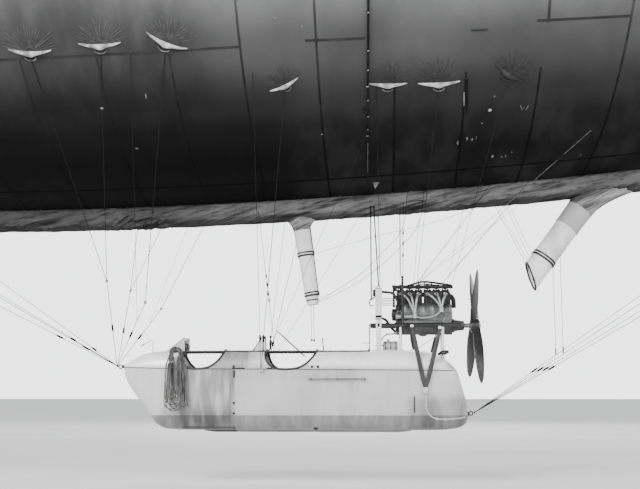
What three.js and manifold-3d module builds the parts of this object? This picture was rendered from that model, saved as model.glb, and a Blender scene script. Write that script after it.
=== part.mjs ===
import * as THREE from 'three';
import { mergeVertices } from 'three/addons/utils/BufferGeometryUtils.js';
import Module from 'manifold-3d';

const wasm = await Module();
wasm.setup();

// All sizes are millimetres, for a model at half the size of the airship.
// +X runs aft, +Y to starboard and +Z up, from the centre of buoyancy on the envelope's axis.
const GAP = 0.35;

const ENVELOPE = {
  radius: 2552.5, widest: -2040, bow: 8150, stern: 16540, skin: 10, port: 55,
  around: 48, bowRings: 11, sternRings: 11,
};
const NOSE = { battens: 8, battenHalf: 16, cover: 12, disc: 105, reach: 45 };
const DUCT = { front: -4250, rear: 5500, halfWidth: 165, depth: 160, wall: 6, taper: 600, tip: 200, lap: 40 };
const SLEEVE = {
  top: [790, -2560], low: [890, -3300], end: [902, -3366],
  topRadius: 77, lowRadius: 57, endRadius: 46, hole: 50, wall: 4,
};
const SCOOP = {
  root: [3290, -2420], mouth: [2755, -3130], radius: 102, hole: 80, wall: 5,
  lip: [[2716, -3004], [2794, -3255]],
};
const HINGE = { x: 12800, slot: 25, nose: 18, plate: 30, pin: 6, bore: 6.15, barrel: 11, knuckle: 30 };
const FIN = { plate: 36 };
const CAR = { wall: 5, bowJoint: -340, sternJoint: 1700, bilge: -4297, floorTop: -4320, sternPost: 2098 };
const SKID = { front: -25, rear: 1725, halfWidth: 40, bottom: -4442 };
const BULKHEAD = { front: -320, rear: 1440, board: 12 };
const PANEL = { places: { panel_front: -258, panel_middle: 476 }, plate: 10, bottom: -3990 };
const SEAT = {
  backs: { seat_front: 115, seat_middle: 850, seat_rear: 1265 },
  depth: 175, halfWidth: 90, board: 16, panTop: -4145, panBottom: -4165, restTop: -3965,
};
const WHEEL = {
  places: { wheel_front: -95, wheel_middle: 640 },
  z: -4030, radius: 75, rim: 7, spoke: 5, post: 12,
};
const BEARER = { front: 1385, rear: 2150, top: -3532, bottom: -3572, inner: 70, outer: 95, middle: 82 };
const BED = {
  leg: [1432, 1478], rods: [1640, 1995], rod: 12,
  arms: [[1732, -3565], [1964, -3580]], armEnd: 214, arm: 11,
};
const MAST = { x: 1658, y: -160, radius: 8, top: -3150, knob: 12 };
const ENGINE = { front: 1600, rear: 2075, axis: -3548, noseEnd: 2180, top: -3375 };
const CYLINDER = { count: 6, first: 1645, pitch: 76, radius: 31, foot: 36, shoulder: -3262, crown: -3246 };
const VALVES = { z: -3216, shaft: 15, front: 1612, rear: 2060, rocker: 46 };
const INTAKE = { y: -112, fans: [[1760, -3470], [1985, -3420]], port: -3280, pipe: 10 };
const EXHAUST = { y: 78, z: -3276, radius: 21, stub: 12 };
const SHAFT = { radius: 20, bore: 20.15, depth: 42 };
const PROPELLER = { x: 2270, radius: 650, blades: 4, hub: 62, lean: 49, stagger: 14 };
const RADIATOR = { front: 1430, rear: 1480, halfWidth: 140, top: -3223, bottom: -3490, header: 21, side: 10 };
const TANK = {
  front: 1490, rear: 1618, z: -3722, radius: 42,
  bands: [1512, 1556, 1600], saddles: [1512, 1600],
};
const STRUT = { tops: [[1732, -3578], [1964, -3593]], out: 215, foot: [1837, -4092], footOut: 222, radius: 11 };
const RAIL = { front: 875, rear: 1345, out: 240, z: -4002, radius: 6, posts: [885, 1110, 1335] };
const EYE = { bow: [-768, 0, -3892], stern: [2224, 0, -4286], radius: 16, wire: 5 };
const STAY = 3;

const LOOKS = {
  canvas: { color: 0x2b2b2c, roughness: 0.75, metalness: 0 },
  duct: { color: 0xb4b2ac, roughness: 0.85, metalness: 0 },
  fin: { color: 0x8d8c88, roughness: 0.75, metalness: 0 },
  car: { color: 0xa5a39c, roughness: 0.45, metalness: 0.1 },
  wood: { color: 0x7c5a3c, roughness: 0.4, metalness: 0 },
  castMetal: { color: 0x9a9a98, roughness: 0.5, metalness: 0.8 },
  darkMetal: { color: 0x2f2f30, roughness: 0.5, metalness: 0.7 },
  leather: { color: 0x3a2c22, roughness: 0.6, metalness: 0 },
  glass: { color: 0xdfe6e6, roughness: 0.1, metalness: 0 },
  rope: { color: 0xc2b79c, roughness: 0.9, metalness: 0 },
  steel: { color: 0x7d7f80, roughness: 0.4, metalness: 0.9 },
};

// Solids: a closed shape becomes a solid that can be joined and cut.
function solid(geometry) {
  const bare = geometry.index ? geometry.toNonIndexed() : geometry.clone();
  for (const name of Object.keys(bare.attributes)) {
    if (name !== 'position') bare.deleteAttribute(name);
  }
  const merged = mergeVertices(bare, 1e-3);
  const place = merged.attributes.position;
  const corner = (i) => new THREE.Vector3().fromBufferAttribute(place, i);
  const faces = [];
  let volume = 0;
  for (let i = 0; i < merged.index.count; i += 3) {
    const [a, b, c] = merged.index.array.slice(i, i + 3);
    if (a === b || b === c || c === a) continue;
    faces.push([a, b, c]);
    volume += corner(a).dot(corner(b).cross(corner(c)));
  }
  const facing = volume < 0 ? faces.map(([a, b, c]) => [a, c, b]) : faces;
  return new wasm.Manifold(new wasm.Mesh({
    numProp: 3,
    vertProperties: new Float32Array(place.array),
    triVerts: new Uint32Array(facing.flat()),
  }));
}

const join = (...pieces) => pieces.reduce((whole, piece) => whole.add(piece));
const cut = (whole, ...tools) => tools.reduce((left, tool) => left.subtract(tool), whole);

// A closed end for a ring of points, faces running the way the ring does.
function cap(ring) {
  const normal = new THREE.Vector3();
  ring.forEach((point, i) => normal.add(point.clone().cross(ring[(i + 1) % ring.length])));
  const size = [Math.abs(normal.x), Math.abs(normal.y), Math.abs(normal.z)];
  const drop = size.indexOf(Math.max(...size));
  const flat = ring.map((p) => [p.x, p.y, p.z].filter((_, axis) => axis !== drop));
  const outline = flat.map(([u, v]) => new THREE.Vector2(u, v));
  const turn = Math.sign(THREE.ShapeUtils.area(outline));
  return THREE.ShapeUtils.triangulateShape(outline, []).map(([a, b, c]) => {
    const area = THREE.ShapeUtils.area([outline[a], outline[b], outline[c]]);
    return Math.sign(area) === turn ? [a, b, c] : [a, c, b];
  });
}

// A skin drawn over rings of points, closed at both ends.
function loft(rings) {
  const count = rings[0].length;
  const faces = [];
  for (let r = 0; r + 1 < rings.length; r += 1) {
    for (let i = 0; i < count; i += 1) {
      const a = r * count + i;
      const b = r * count + ((i + 1) % count);
      faces.push([a, b, b + count], [a, b + count, a + count]);
    }
  }
  const last = (rings.length - 1) * count;
  cap(rings[0]).forEach(([a, b, c]) => faces.push([a, c, b]));
  cap(rings[rings.length - 1]).forEach(([a, b, c]) => faces.push([last + a, last + b, last + c]));
  const geometry = new THREE.BufferGeometry().setFromPoints(rings.flat());
  geometry.setIndex(faces.flat());
  return solid(geometry);
}

const vector = (x, y, z) => new THREE.Vector3(x, y, z);

function box([x0, x1], [y0, y1], [z0, z1]) {
  const shape = new THREE.BoxGeometry(x1 - x0, y1 - y0, z1 - z0);
  shape.translate((x0 + x1) / 2, (y0 + y1) / 2, (z0 + z1) / 2);
  return solid(shape);
}

function rod(from, to, radius, sides = 8, endRadius = radius) {
  const start = vector(...from);
  const along = vector(...to).sub(start);
  const shape = new THREE.CylinderGeometry(endRadius, radius, along.length(), sides);
  shape.translate(0, along.length() / 2, 0);
  shape.applyQuaternion(new THREE.Quaternion().setFromUnitVectors(vector(0, 1, 0), along.normalize()));
  shape.translate(start.x, start.y, start.z);
  return solid(shape);
}

function pipe(points, radius, sides = 8, steps = 10) {
  const section = new THREE.Shape();
  for (let i = 0; i < sides; i += 1) {
    const turn = (2 * Math.PI * i) / sides;
    const place = [radius * Math.cos(turn), radius * Math.sin(turn)];
    if (i === 0) section.moveTo(...place);
    else section.lineTo(...place);
  }
  section.closePath();
  const path = new THREE.CatmullRomCurve3(points.map((p) => vector(...p)));
  return solid(new THREE.ExtrudeGeometry(section, { steps, bevelEnabled: false, extrudePath: path }));
}

function ringAt(centre, axis, radius, tube, around = 24, sides = 8) {
  const shape = new THREE.TorusGeometry(radius, tube, sides, around);
  shape.applyQuaternion(new THREE.Quaternion().setFromUnitVectors(vector(0, 0, 1), vector(...axis)));
  shape.translate(...centre);
  return solid(shape);
}

// A flat outline in the plan (x, y) or side (x, z) view, given a thickness across it.
const slabSide = (outline, y0, y1) => loft([y0, y1].map((y) => outline.map(([x, z]) => vector(x, y, z))));
const slabPlan = (outline, z0, z1) => loft([z0, z1].map((z) => outline.map(([x, y]) => vector(x, y, z))));

const mix = (table, x) => {
  const next = Math.min(Math.max(table.findIndex(([at]) => at >= x), 1), table.length - 1);
  const [x0, a] = table[next - 1];
  const [x1, b] = table[next];
  return a + ((b - a) * (x - x0)) / (x1 - x0);
};

const airship = new THREE.Group();

function add(name, body, look) {
  const { vertProperties, triVerts } = body.getMesh();
  const geometry = new THREE.BufferGeometry();
  geometry.setAttribute('position', new THREE.BufferAttribute(new Float32Array(vertProperties), 3));
  geometry.setIndex(new THREE.BufferAttribute(new Uint32Array(triVerts), 1));
  geometry.computeVertexNormals();
  const mesh = new THREE.Mesh(geometry, new THREE.MeshStandardMaterial(LOOKS[look]));
  mesh.name = name;
  airship.add(mesh);
}

// Envelope: half an ellipse forward of the widest station and a parabola aft of it.
function envelopeRadius(x) {
  const { radius, widest, bow, stern } = ENVELOPE;
  const along = x - widest;
  return along < 0 ? radius * Math.sqrt(1 - (along / bow) ** 2) : radius * (1 - (along / stern) ** 2);
}

function envelopeProfile(grow) {
  const { widest, bow, stern, bowRings, sternRings } = ENVELOPE;
  const radius = ENVELOPE.radius + grow;
  const points = [];
  for (let i = 0; i <= bowRings; i += 1) {
    const turn = (Math.PI / 2) * (i / bowRings) ** 1.3;
    points.push([widest - (bow + grow) * Math.cos(turn), radius * Math.sin(turn)]);
  }
  for (let i = 1; i <= sternRings; i += 1) {
    const share = i / sternRings;
    points.push([widest + (stern + 3.4 * grow) * share, radius * (1 - share ** 2)]);
  }
  return points;
}

function lathe(profile, around) {
  const shape = new THREE.LatheGeometry(profile.map(([x, r]) => new THREE.Vector2(Math.max(r, 0), x)), around);
  shape.rotateZ(-Math.PI / 2);
  return solid(shape);
}

const clipEnds = (profile) => profile.map(([x, r], i) => [x, i === 0 || i === profile.length - 1 ? 0 : r]);
const envelopeSolid = (grow) => lathe(clipEnds(envelopeProfile(grow)), ENVELOPE.around);
const envelopeRoom = envelopeSolid(GAP);

function buildEnvelope() {
  const skin = cut(envelopeSolid(0), envelopeSolid(-ENVELOPE.skin));
  const port = (x) => rod([x, 0, -envelopeRadius(x) - 40], [x, 0, -envelopeRadius(x) + 60], ENVELOPE.port, 12);
  add('envelope', cut(skin, port(SLEEVE.top[0]), port(SCOOP.root[0])), 'canvas');
}

// Nose cap: a dish on the bow with battens along the skin, and a flat disc for the mooring gear.
function buildNoseCap() {
  const { battens: around, battenHalf, cover } = NOSE;
  const profile = envelopeProfile(0);
  const noseX = profile[0][0];
  const [rimX, rimRadius] = profile[3];
  const dish = lathe([[noseX - cover, 0], ...profile.slice(1, 4).map(([x, r]) => [x - cover, r + 3]),
    [rimX + 40, rimRadius - 2], [rimX + 40, 0]], ENVELOPE.around / 2);
  const batten = (turn) => {
    const across = vector(0, Math.cos(turn), Math.sin(turn));
    const out = vector(0, -Math.sin(turn), Math.cos(turn));
    return loft(profile.slice(2, 7).map(([x, r], i, all) => {
      const [nextX, nextR] = all[Math.min(i + 1, all.length - 1)];
      const [pastX, pastR] = all[Math.max(i - 1, 0)];
      const slope = new THREE.Vector2(nextX - pastX, nextR - pastR).normalize();
      const lift = (height, side) => vector(x - slope.y * height, 0, 0)
        .addScaledVector(out, r + slope.x * height).addScaledVector(across, side * battenHalf);
      return [lift(-8, -1), lift(-8, 1), lift(cover, 1), lift(cover, -1)];
    }));
  };
  const battens = Array.from({ length: around }, (_, i) => batten((2 * Math.PI * i) / around));
  const disc = rod([noseX - NOSE.reach, 0, 0], [noseX + 5, 0, 0], NOSE.disc, 24);
  add('nose_cap', cut(join(dish, disc, ...battens), envelopeRoom), 'fin');
}

// Air duct: a fabric trough laced under the belly.
function ductRings(grow, inner) {
  const { front, rear, taper, tip, lap } = DUCT;
  const stations = [front, front + tip];
  for (let x = front + taper; x < rear - taper; x += taper) stations.push(x);
  stations.push(rear - taper, rear - tip, rear);
  const section = (x, wall) => {
    const ends = Math.min(x - front, rear - x);
    const fill = 0.25 + 0.75 * Math.sin((Math.PI / 2) * Math.min(ends / taper, 1));
    const belly = -envelopeRadius(x);
    const width = DUCT.halfWidth * (0.6 + 0.4 * fill) + grow - wall;
    const depth = DUCT.depth * fill + grow - wall;
    const points = [vector(x, -width, belly + lap)];
    for (let i = 0; i <= 10; i += 1) {
      const turn = Math.PI * (1 + i / 10);
      points.push(vector(x, width * Math.cos(turn), belly + depth * Math.sin(turn)));
    }
    points.push(vector(x, width, belly + lap));
    return points;
  };
  return stations.map((x) => (inner ? [...section(x, 0), ...section(x, DUCT.wall).reverse()] : section(x, 0)));
}
const ductRoom = loft(ductRings(GAP, false));

function buildDuct() {
  const [sleeveX] = SLEEVE.top;
  const [scoopX, scoopZ] = SCOOP.root;
  const sleeveHole = rod([sleeveX, 0, -2650], [sleeveX + 20, 0, -2760], SLEEVE.hole, 16);
  const scoopHole = rod([scoopX, 0, scoopZ], [SCOOP.mouth[0], 0, SCOOP.mouth[1]], SCOOP.hole, 16);
  add('belly_duct', cut(loft(ductRings(0, true)), envelopeRoom, sleeveHole, scoopHole), 'duct');
}

const circle = (centre, along, radius, sides) => {
  const across = vector(0, 1, 0);
  const up = across.clone().cross(along).normalize();
  return Array.from({ length: sides }, (_, i) => {
    const turn = (2 * Math.PI * i) / sides;
    return centre.clone()
      .addScaledVector(across, radius * Math.cos(turn))
      .addScaledVector(up, radius * Math.sin(turn));
  });
};

function buildFrontSleeve() {
  const { top, low, end, topRadius, lowRadius, endRadius, wall } = SLEEVE;
  const at = ([x, z]) => vector(x, 0, z);
  const along = at(low).sub(at(top)).normalize();
  const tube = (inset) => {
    const spill = inset * 4;
    const first = at(top).addScaledVector(along, -spill);
    const last = at(end).addScaledVector(along, spill);
    const halfway = at(top).lerp(at(low), 0.5);
    const middle = [halfway, (topRadius + lowRadius) / 2];
    const rings = [[first, topRadius], middle, [at(low), lowRadius], [last, endRadius]];
    return loft(rings.map(([centre, radius]) => circle(centre, along, radius - inset, 16)));
  };
  add('front_sleeve', cut(tube(0), tube(wall), ductRoom, envelopeRoom), 'duct');
}

function buildScoop() {
  const { root, mouth, radius, wall, lip } = SCOOP;
  const start = vector(root[0], 0, root[1]);
  const along = vector(mouth[0], 0, mouth[1]).sub(start).normalize();
  const length = start.distanceTo(vector(mouth[0], 0, mouth[1]));
  const tube = (inset) => {
    const stations = [[-60, 1.15], [length * 0.35, 1.02], [length + 260, 0.98]];
    return loft(stations.map(([far, swell]) => circle(start.clone().addScaledVector(along, far),
      along, radius * swell - inset, 20)));
  };
  const [[x0, z0], [x1, z1]] = lip;
  const reach = [3 * (x1 - x0), 3 * (z1 - z0)];
  const beyond = slabSide([[x0 - reach[0], z0 - reach[1]], [x1 + reach[0], z1 + reach[1]],
    [x1 + reach[0] - 900, z1 + reach[1]], [x0 - reach[0] - 900, z0 - reach[1]]], -300, 300);
  add('rear_scoop', cut(tube(0), tube(wall), beyond, ductRoom, envelopeRoom), 'duct');
}

// Tail: fixed surfaces with bored knuckles, and hinged surfaces with pins across their notches.
const TAIL = {
  // x and distance out from the axis; for the hinged ones x is from the hinge
  stabilizer: [[9850, 900], [11250, 1950], [11500, 2080], [11800, 2140], [HINGE.x, 2150], [HINGE.x, 400]],
  elevator: [[0, 620], [600, 700], [735, 850], [770, 1050], [770, 1750], [720, 1960], [560, 2090], [0, 2140]],
  rudder: [[0, 620], [690, 700], [830, 860], [870, 1080], [870, 1800], [810, 2020], [640, 2150], [0, 2200]],
  lowerFin: [[9650, 1000], [11150, 1990], [11400, 2130], [11750, 2200], [HINGE.x, 2210], [HINGE.x, 400]],
  upperFin: [[10150, 1000], [11500, 1590], [11750, 1670], [12050, 1690], [12560, 1620], [12700, 400]],
  knuckles: [760, 1380, 2000],
};

// The surfaces are drawn to starboard and turned about the envelope's axis to their places.
const turned = (body, degrees) => body.rotate([degrees, 0, 0]);

function fixedSurface(outline, knuckles) {
  const edge = outline.map(([x, y]) => [Math.min(x, HINGE.x - HINGE.slot), y]);
  const plate = slabPlan(edge, -FIN.plate / 2, FIN.plate / 2);
  const half = HINGE.knuckle / 2;
  const lugs = knuckles.map((y) => join(
    box([HINGE.x - 60, HINGE.x], [y - half, y + half], [-7, 7]),
    rod([HINGE.x, y - half, 0], [HINGE.x, y + half, 0], HINGE.barrel, 16),
  ));
  const bores = knuckles.map((y) => rod([HINGE.x, y - 40, 0], [HINGE.x, y + 40, 0], HINGE.bore, 16));
  return cut(lugs.length ? cut(join(plate, ...lugs), ...bores) : plate, envelopeRoom);
}

function hingedSurface(outline, knuckles) {
  const points = outline.map(([x, y]) => [x + HINGE.x, y]);
  const inner = points[0][1];
  const outer = points[points.length - 1][1];
  const plate = slabPlan(points, -HINGE.plate / 2, HINGE.plate / 2);
  const nose = rod([HINGE.x, inner, 0], [HINGE.x, outer, 0], HINGE.nose, 16);
  const half = HINGE.knuckle / 2 + GAP;
  const notches = knuckles.map((y) => box([HINGE.x - 30, HINGE.x + 16], [y - half, y + half], [-30, 30]));
  const pins = knuckles.map((y) => rod([HINGE.x, y - half - 8, 0], [HINGE.x, y + half + 8, 0], HINGE.pin, 16));
  return join(cut(join(plate, nose), ...notches), ...pins);
}

function buildTail() {
  const { stabilizer, elevator, rudder, lowerFin, upperFin, knuckles } = TAIL;
  const wing = fixedSurface(stabilizer, knuckles);
  const flap = hingedSurface(elevator, knuckles);
  add('stabilizer_starboard', wing, 'fin');
  add('stabilizer_port', turned(wing, 180), 'fin');
  add('elevator_starboard', flap, 'fin');
  add('elevator_port', turned(flap, 180), 'fin');
  add('fin_lower', turned(fixedSurface(lowerFin, knuckles), -90), 'fin');
  add('rudder', turned(hingedSurface(rudder, knuckles), -90), 'fin');
  add('fin_upper', turned(fixedSurface(upperFin, []), 90), 'fin');
}

// Car: a boat-shaped body, drawn whole and then split where its panels meet.
const HULL = [
  // x, half width, shoulder z, keel z, crown z
  [-735, 12, -3900, -3925, -3888],
  [-715, 44, -3901, -3985, -3870],
  [-670, 84, -3902, -4060, -3842],
  [-600, 122, -3904, -4150, -3804],
  [-510, 154, -3907, -4262, -3774],
  [-425, 176, -3910, -4375, -3760],
  [-340, 193, -3913, -4414, -3753],
  [-200, 207, -3915, -4423, -3750],
  [0, 214, -3916, -4424, -3750],
  [1500, 215, -3927, -4424, -3750],
  [1750, 210, -3929, -4424, -3753],
  [1880, 200, -3930, -4424, -3768],
  [1970, 187, -3931, -4422, -3804],
  [2045, 170, -3932, -4416, -3858],
  [2100, 152, -3940, -4408, -3922],
  [2145, 128, -4080, -4392, -4055],
  [2178, 96, -4190, -4365, -4170],
  [2196, 50, -4260, -4330, -4248],
];
const shoulderLine = HULL.filter(([x]) => x <= 2100).map(([x, , shoulder]) => [x, shoulder]);
const halfWidthLine = HULL.map(([x, halfWidth]) => [x, halfWidth]);

function hullSolid(grow) {
  const power = (value, exponent) => Math.sign(value) * Math.abs(value) ** (2 / exponent);
  const last = HULL.length - 1;
  return loft(HULL.map(([x, halfWidth, shoulder, keel, crown], i) => {
    const station = x + (i === last ? 1.6 : 0) * grow - (i === 0 ? 1.6 : 0) * grow;
    const half = Math.max(halfWidth + grow, 5);
    const points = [];
    for (let step = 0; step < 26; step += 1) {
      const above = step <= 12;
      const turn = above ? (Math.PI * step) / 12 : Math.PI * (1 + (step - 12) / 14);
      const height = above ? Math.max(crown + grow - shoulder, 4) : Math.max(shoulder - keel + grow, 4);
      const exponent = above ? 2.3 : 5;
      const rise = height * power(Math.sin(turn), exponent);
      const atShoulder = step % 12 === 0 && above;
      points.push(vector(station, half * power(Math.cos(turn), exponent), shoulder + (atShoulder ? 0 : rise)));
    }
    return points;
  }));
}
const hullRoom = hullSolid(GAP);
const hullInside = hullSolid(-CAR.wall - GAP);

function shoulderEdge(x0, x1, gap) {
  const line = shoulderLine.map(([x]) => x).filter((x) => x > x0 && x < x1);
  return [x0, ...line, x1].map((x) => [x, mix(shoulderLine, x) + gap]);
}
const fromShoulder = (x0, x1, z, gap) => slabSide([...shoulderEdge(x0, x1, gap), [x1, z], [x0, z]], -400, 400);
const aboveShoulder = (x0, x1, gap) => fromShoulder(x0, x1, -3500, gap);
const belowShoulder = (x0, x1, z, gap) => fromShoulder(x0, x1, z, -gap);

const COCKPITS = {
  front: [[-228, -3700], [-226, -3790], [-212, -3850], [-172, -3890], [-150, -3905], [-130, -3950], [0, -3950],
    [20, -3905], [54, -3890], [108, -3850], [142, -3790], [152, -3700]],
  middle: [[498, -3700], [501, -3790], [515, -3850], [553, -3894], [578, -3909], [600, -3960], [755, -3960],
    [782, -3909], [816, -3894], [876, -3850], [921, -3790], [935, -3700]],
  hatch: { x: [1005, 1372], halfWidth: 118 },
};

function buildCarShell() {
  const seam = GAP / 2;
  const shell = cut(hullSolid(0), hullSolid(-CAR.wall));
  const bow = CAR.bowJoint;
  const stern = CAR.sternJoint;
  const hatch = COCKPITS.hatch;
  const openings = [
    slabSide(COCKPITS.front, -400, 400),
    slabSide(COCKPITS.middle, -400, 400),
    box(hatch.x, [-hatch.halfWidth, hatch.halfWidth], [-3860, -3600]),
  ];
  const piece = (region, ...more) => cut(shell.intersect(region), ...more);
  add('cowl_bow', piece(aboveShoulder(-760, -40, seam), ...openings), 'car');
  add('cowl_middle', piece(aboveShoulder(-20, 660, seam), ...openings), 'car');
  add('cowl_rear', piece(aboveShoulder(700, CAR.sternPost - seam, seam), ...openings), 'car');
  add('car_bow', piece(belowShoulder(-760, bow - seam, -4600, seam)), 'car');
  const side = piece(belowShoulder(bow + seam, stern - seam, CAR.bilge + seam, seam));
  add('car_side_port', side.intersect(box([-760, 2300], [-400, -1], [-4600, -3500])), 'car');
  add('car_side_starboard', side.intersect(box([-760, 2300], [1, 400], [-4600, -3500])), 'car');
  add('car_bottom', piece(box([bow + seam, stern - seam], [-400, 400], [-4600, CAR.bilge - seam])), 'car');
  const post = CAR.sternPost + seam;
  const tail = slabSide([...shoulderEdge(stern + seam, post, -seam), [post, -3700], [2400, -3700],
    [2400, -4600], [stern + seam, -4600]], -400, 400);
  add('car_stern', piece(tail), 'car');
  const skid = box([SKID.front, SKID.rear], [-SKID.halfWidth, SKID.halfWidth], [SKID.bottom, -4400]);
  add('keel_skid', cut(skid, hullRoom), 'wood');
}

function buildCarInside() {
  const inside = (x, z, half = 400) => hullInside.intersect(box(x, [-half, half], z));
  const { front, rear, board } = BULKHEAD;
  const { floorTop } = CAR;
  add('car_floor', inside([front + board + GAP, rear - GAP], [floorTop - 10, floorTop]), 'wood');
  add('bulkhead_front', inside([front, front + board], [-4500, -3700]), 'wood');
  add('bulkhead_rear', inside([rear, rear + board], [-4500, -3700]), 'wood');
  for (const [name, x] of Object.entries(PANEL.places)) {
    add(name, inside([x, x + PANEL.plate], [PANEL.bottom, -3700]), 'darkMetal');
  }
  const { halfWidth, depth, panTop, panBottom, restTop } = SEAT;
  for (const [name, back] of Object.entries(SEAT.backs)) {
    const pan = box([back - depth, back - SEAT.board + 1], [-halfWidth, halfWidth], [panBottom, panTop]);
    const rest = box([back - SEAT.board, back], [-halfWidth, halfWidth], [panBottom, restTop]);
    const narrow = [10 - halfWidth, halfWidth - 10];
    const legs = box([back - depth + 15, back - 20], narrow, [floorTop + GAP, panBottom + 1]);
    const hollow = box([back - 140, back - 40], [-halfWidth, halfWidth], [floorTop - 5, panBottom - 20]);
    add(name, join(pan, rest, cut(legs, hollow)), 'leather');
  }
  const { z, radius, rim, spoke } = WHEEL;
  for (const [name, x] of Object.entries(WHEEL.places)) {
    const spokes = [0, 60, 120].map((turn) => {
      const across = Math.cos((turn * Math.PI) / 180) * radius;
      const up = Math.sin((turn * Math.PI) / 180) * radius;
      return rod([x, -across, z - up], [x, across, z + up], spoke, 4);
    });
    const post = rod([x - 24, 0, floorTop + GAP], [x - 24, 0, z + 12], WHEEL.post, 10);
    const hub = rod([x - 30, 0, z], [x + 10, 0, z], WHEEL.post + 1, 10);
    add(name, join(post, hub, ringAt([x, 0, z], [1, 0, 0], radius, rim, 14, 5), ...spokes), 'wood');
  }
}

function buildWindscreens() {
  // foot x and z, top x and z, half width
  const screens = {
    windscreen_front: [-425, -3830, -204, -3655, 118],
    windscreen_middle: [345, -3830, 474, -3632, 105],
  };
  for (const [name, [x0, z0, x1, z1, half]] of Object.entries(screens)) {
    const pane = slabSide([[x0, z0], [x1, z1], [x1 + 6, z1 - 3], [x0 + 6, z0]], -half, half);
    const sides = [-1, 1].map((side) => {
      const edge = [side * half, side * (half - 5)].sort((a, b) => a - b);
      return slabSide([[x0, z0], [x1, z1], [x1 + 6, z1 - 3], [x1 + 10, z0]], ...edge);
    });
    add(name, cut(join(pane, ...sides), hullRoom), 'glass');
  }
}

// Engine bed: two bearers on legs, with arms out to the side struts, and a rod that carries a stay.
function buildEngineFrame() {
  const { front, rear, top, bottom, inner, outer, middle } = BEARER;
  const parts = [];
  for (const side of [-1, 1]) {
    const beam = [side * inner, side * outer].sort((a, b) => a - b);
    parts.push(box([front, rear], beam, [bottom, top]));
    parts.push(box(BED.leg, beam, [-3840, RADIATOR.bottom - GAP]));
    for (const x of BED.rods) {
      parts.push(rod([x, side * middle, bottom + 5], [x, side * middle, -3860], BED.rod, 10));
    }
    for (const [x, z] of BED.arms) {
      parts.push(rod([x, side * middle, z + 12], [x, side * BED.armEnd, z], BED.arm, 8));
    }
  }
  for (const x of [front + 10, (BED.leg[0] + BED.leg[1]) / 2]) {
    parts.push(box([x - 10, x + 10], [-outer, outer], [bottom, top - 4]));
  }
  const tie = BED.rods[1];
  parts.push(rod([tie, -middle, -3700], [tie, middle, -3700], 9, 8));
  const mast = rod([MAST.x, MAST.y, bottom], [MAST.x, MAST.y, MAST.top], MAST.radius, 8);
  const foot = box([MAST.x - 8, MAST.x + 8], [MAST.y - 6, 1 - outer], [bottom, top]);
  const knob = rod([MAST.x, MAST.y, MAST.top - 6], [MAST.x, MAST.y, MAST.top + 14], MAST.knob, 10);
  add('engine_frame', cut(join(...parts, mast, foot, knob), hullRoom), 'darkMetal');
}

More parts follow.
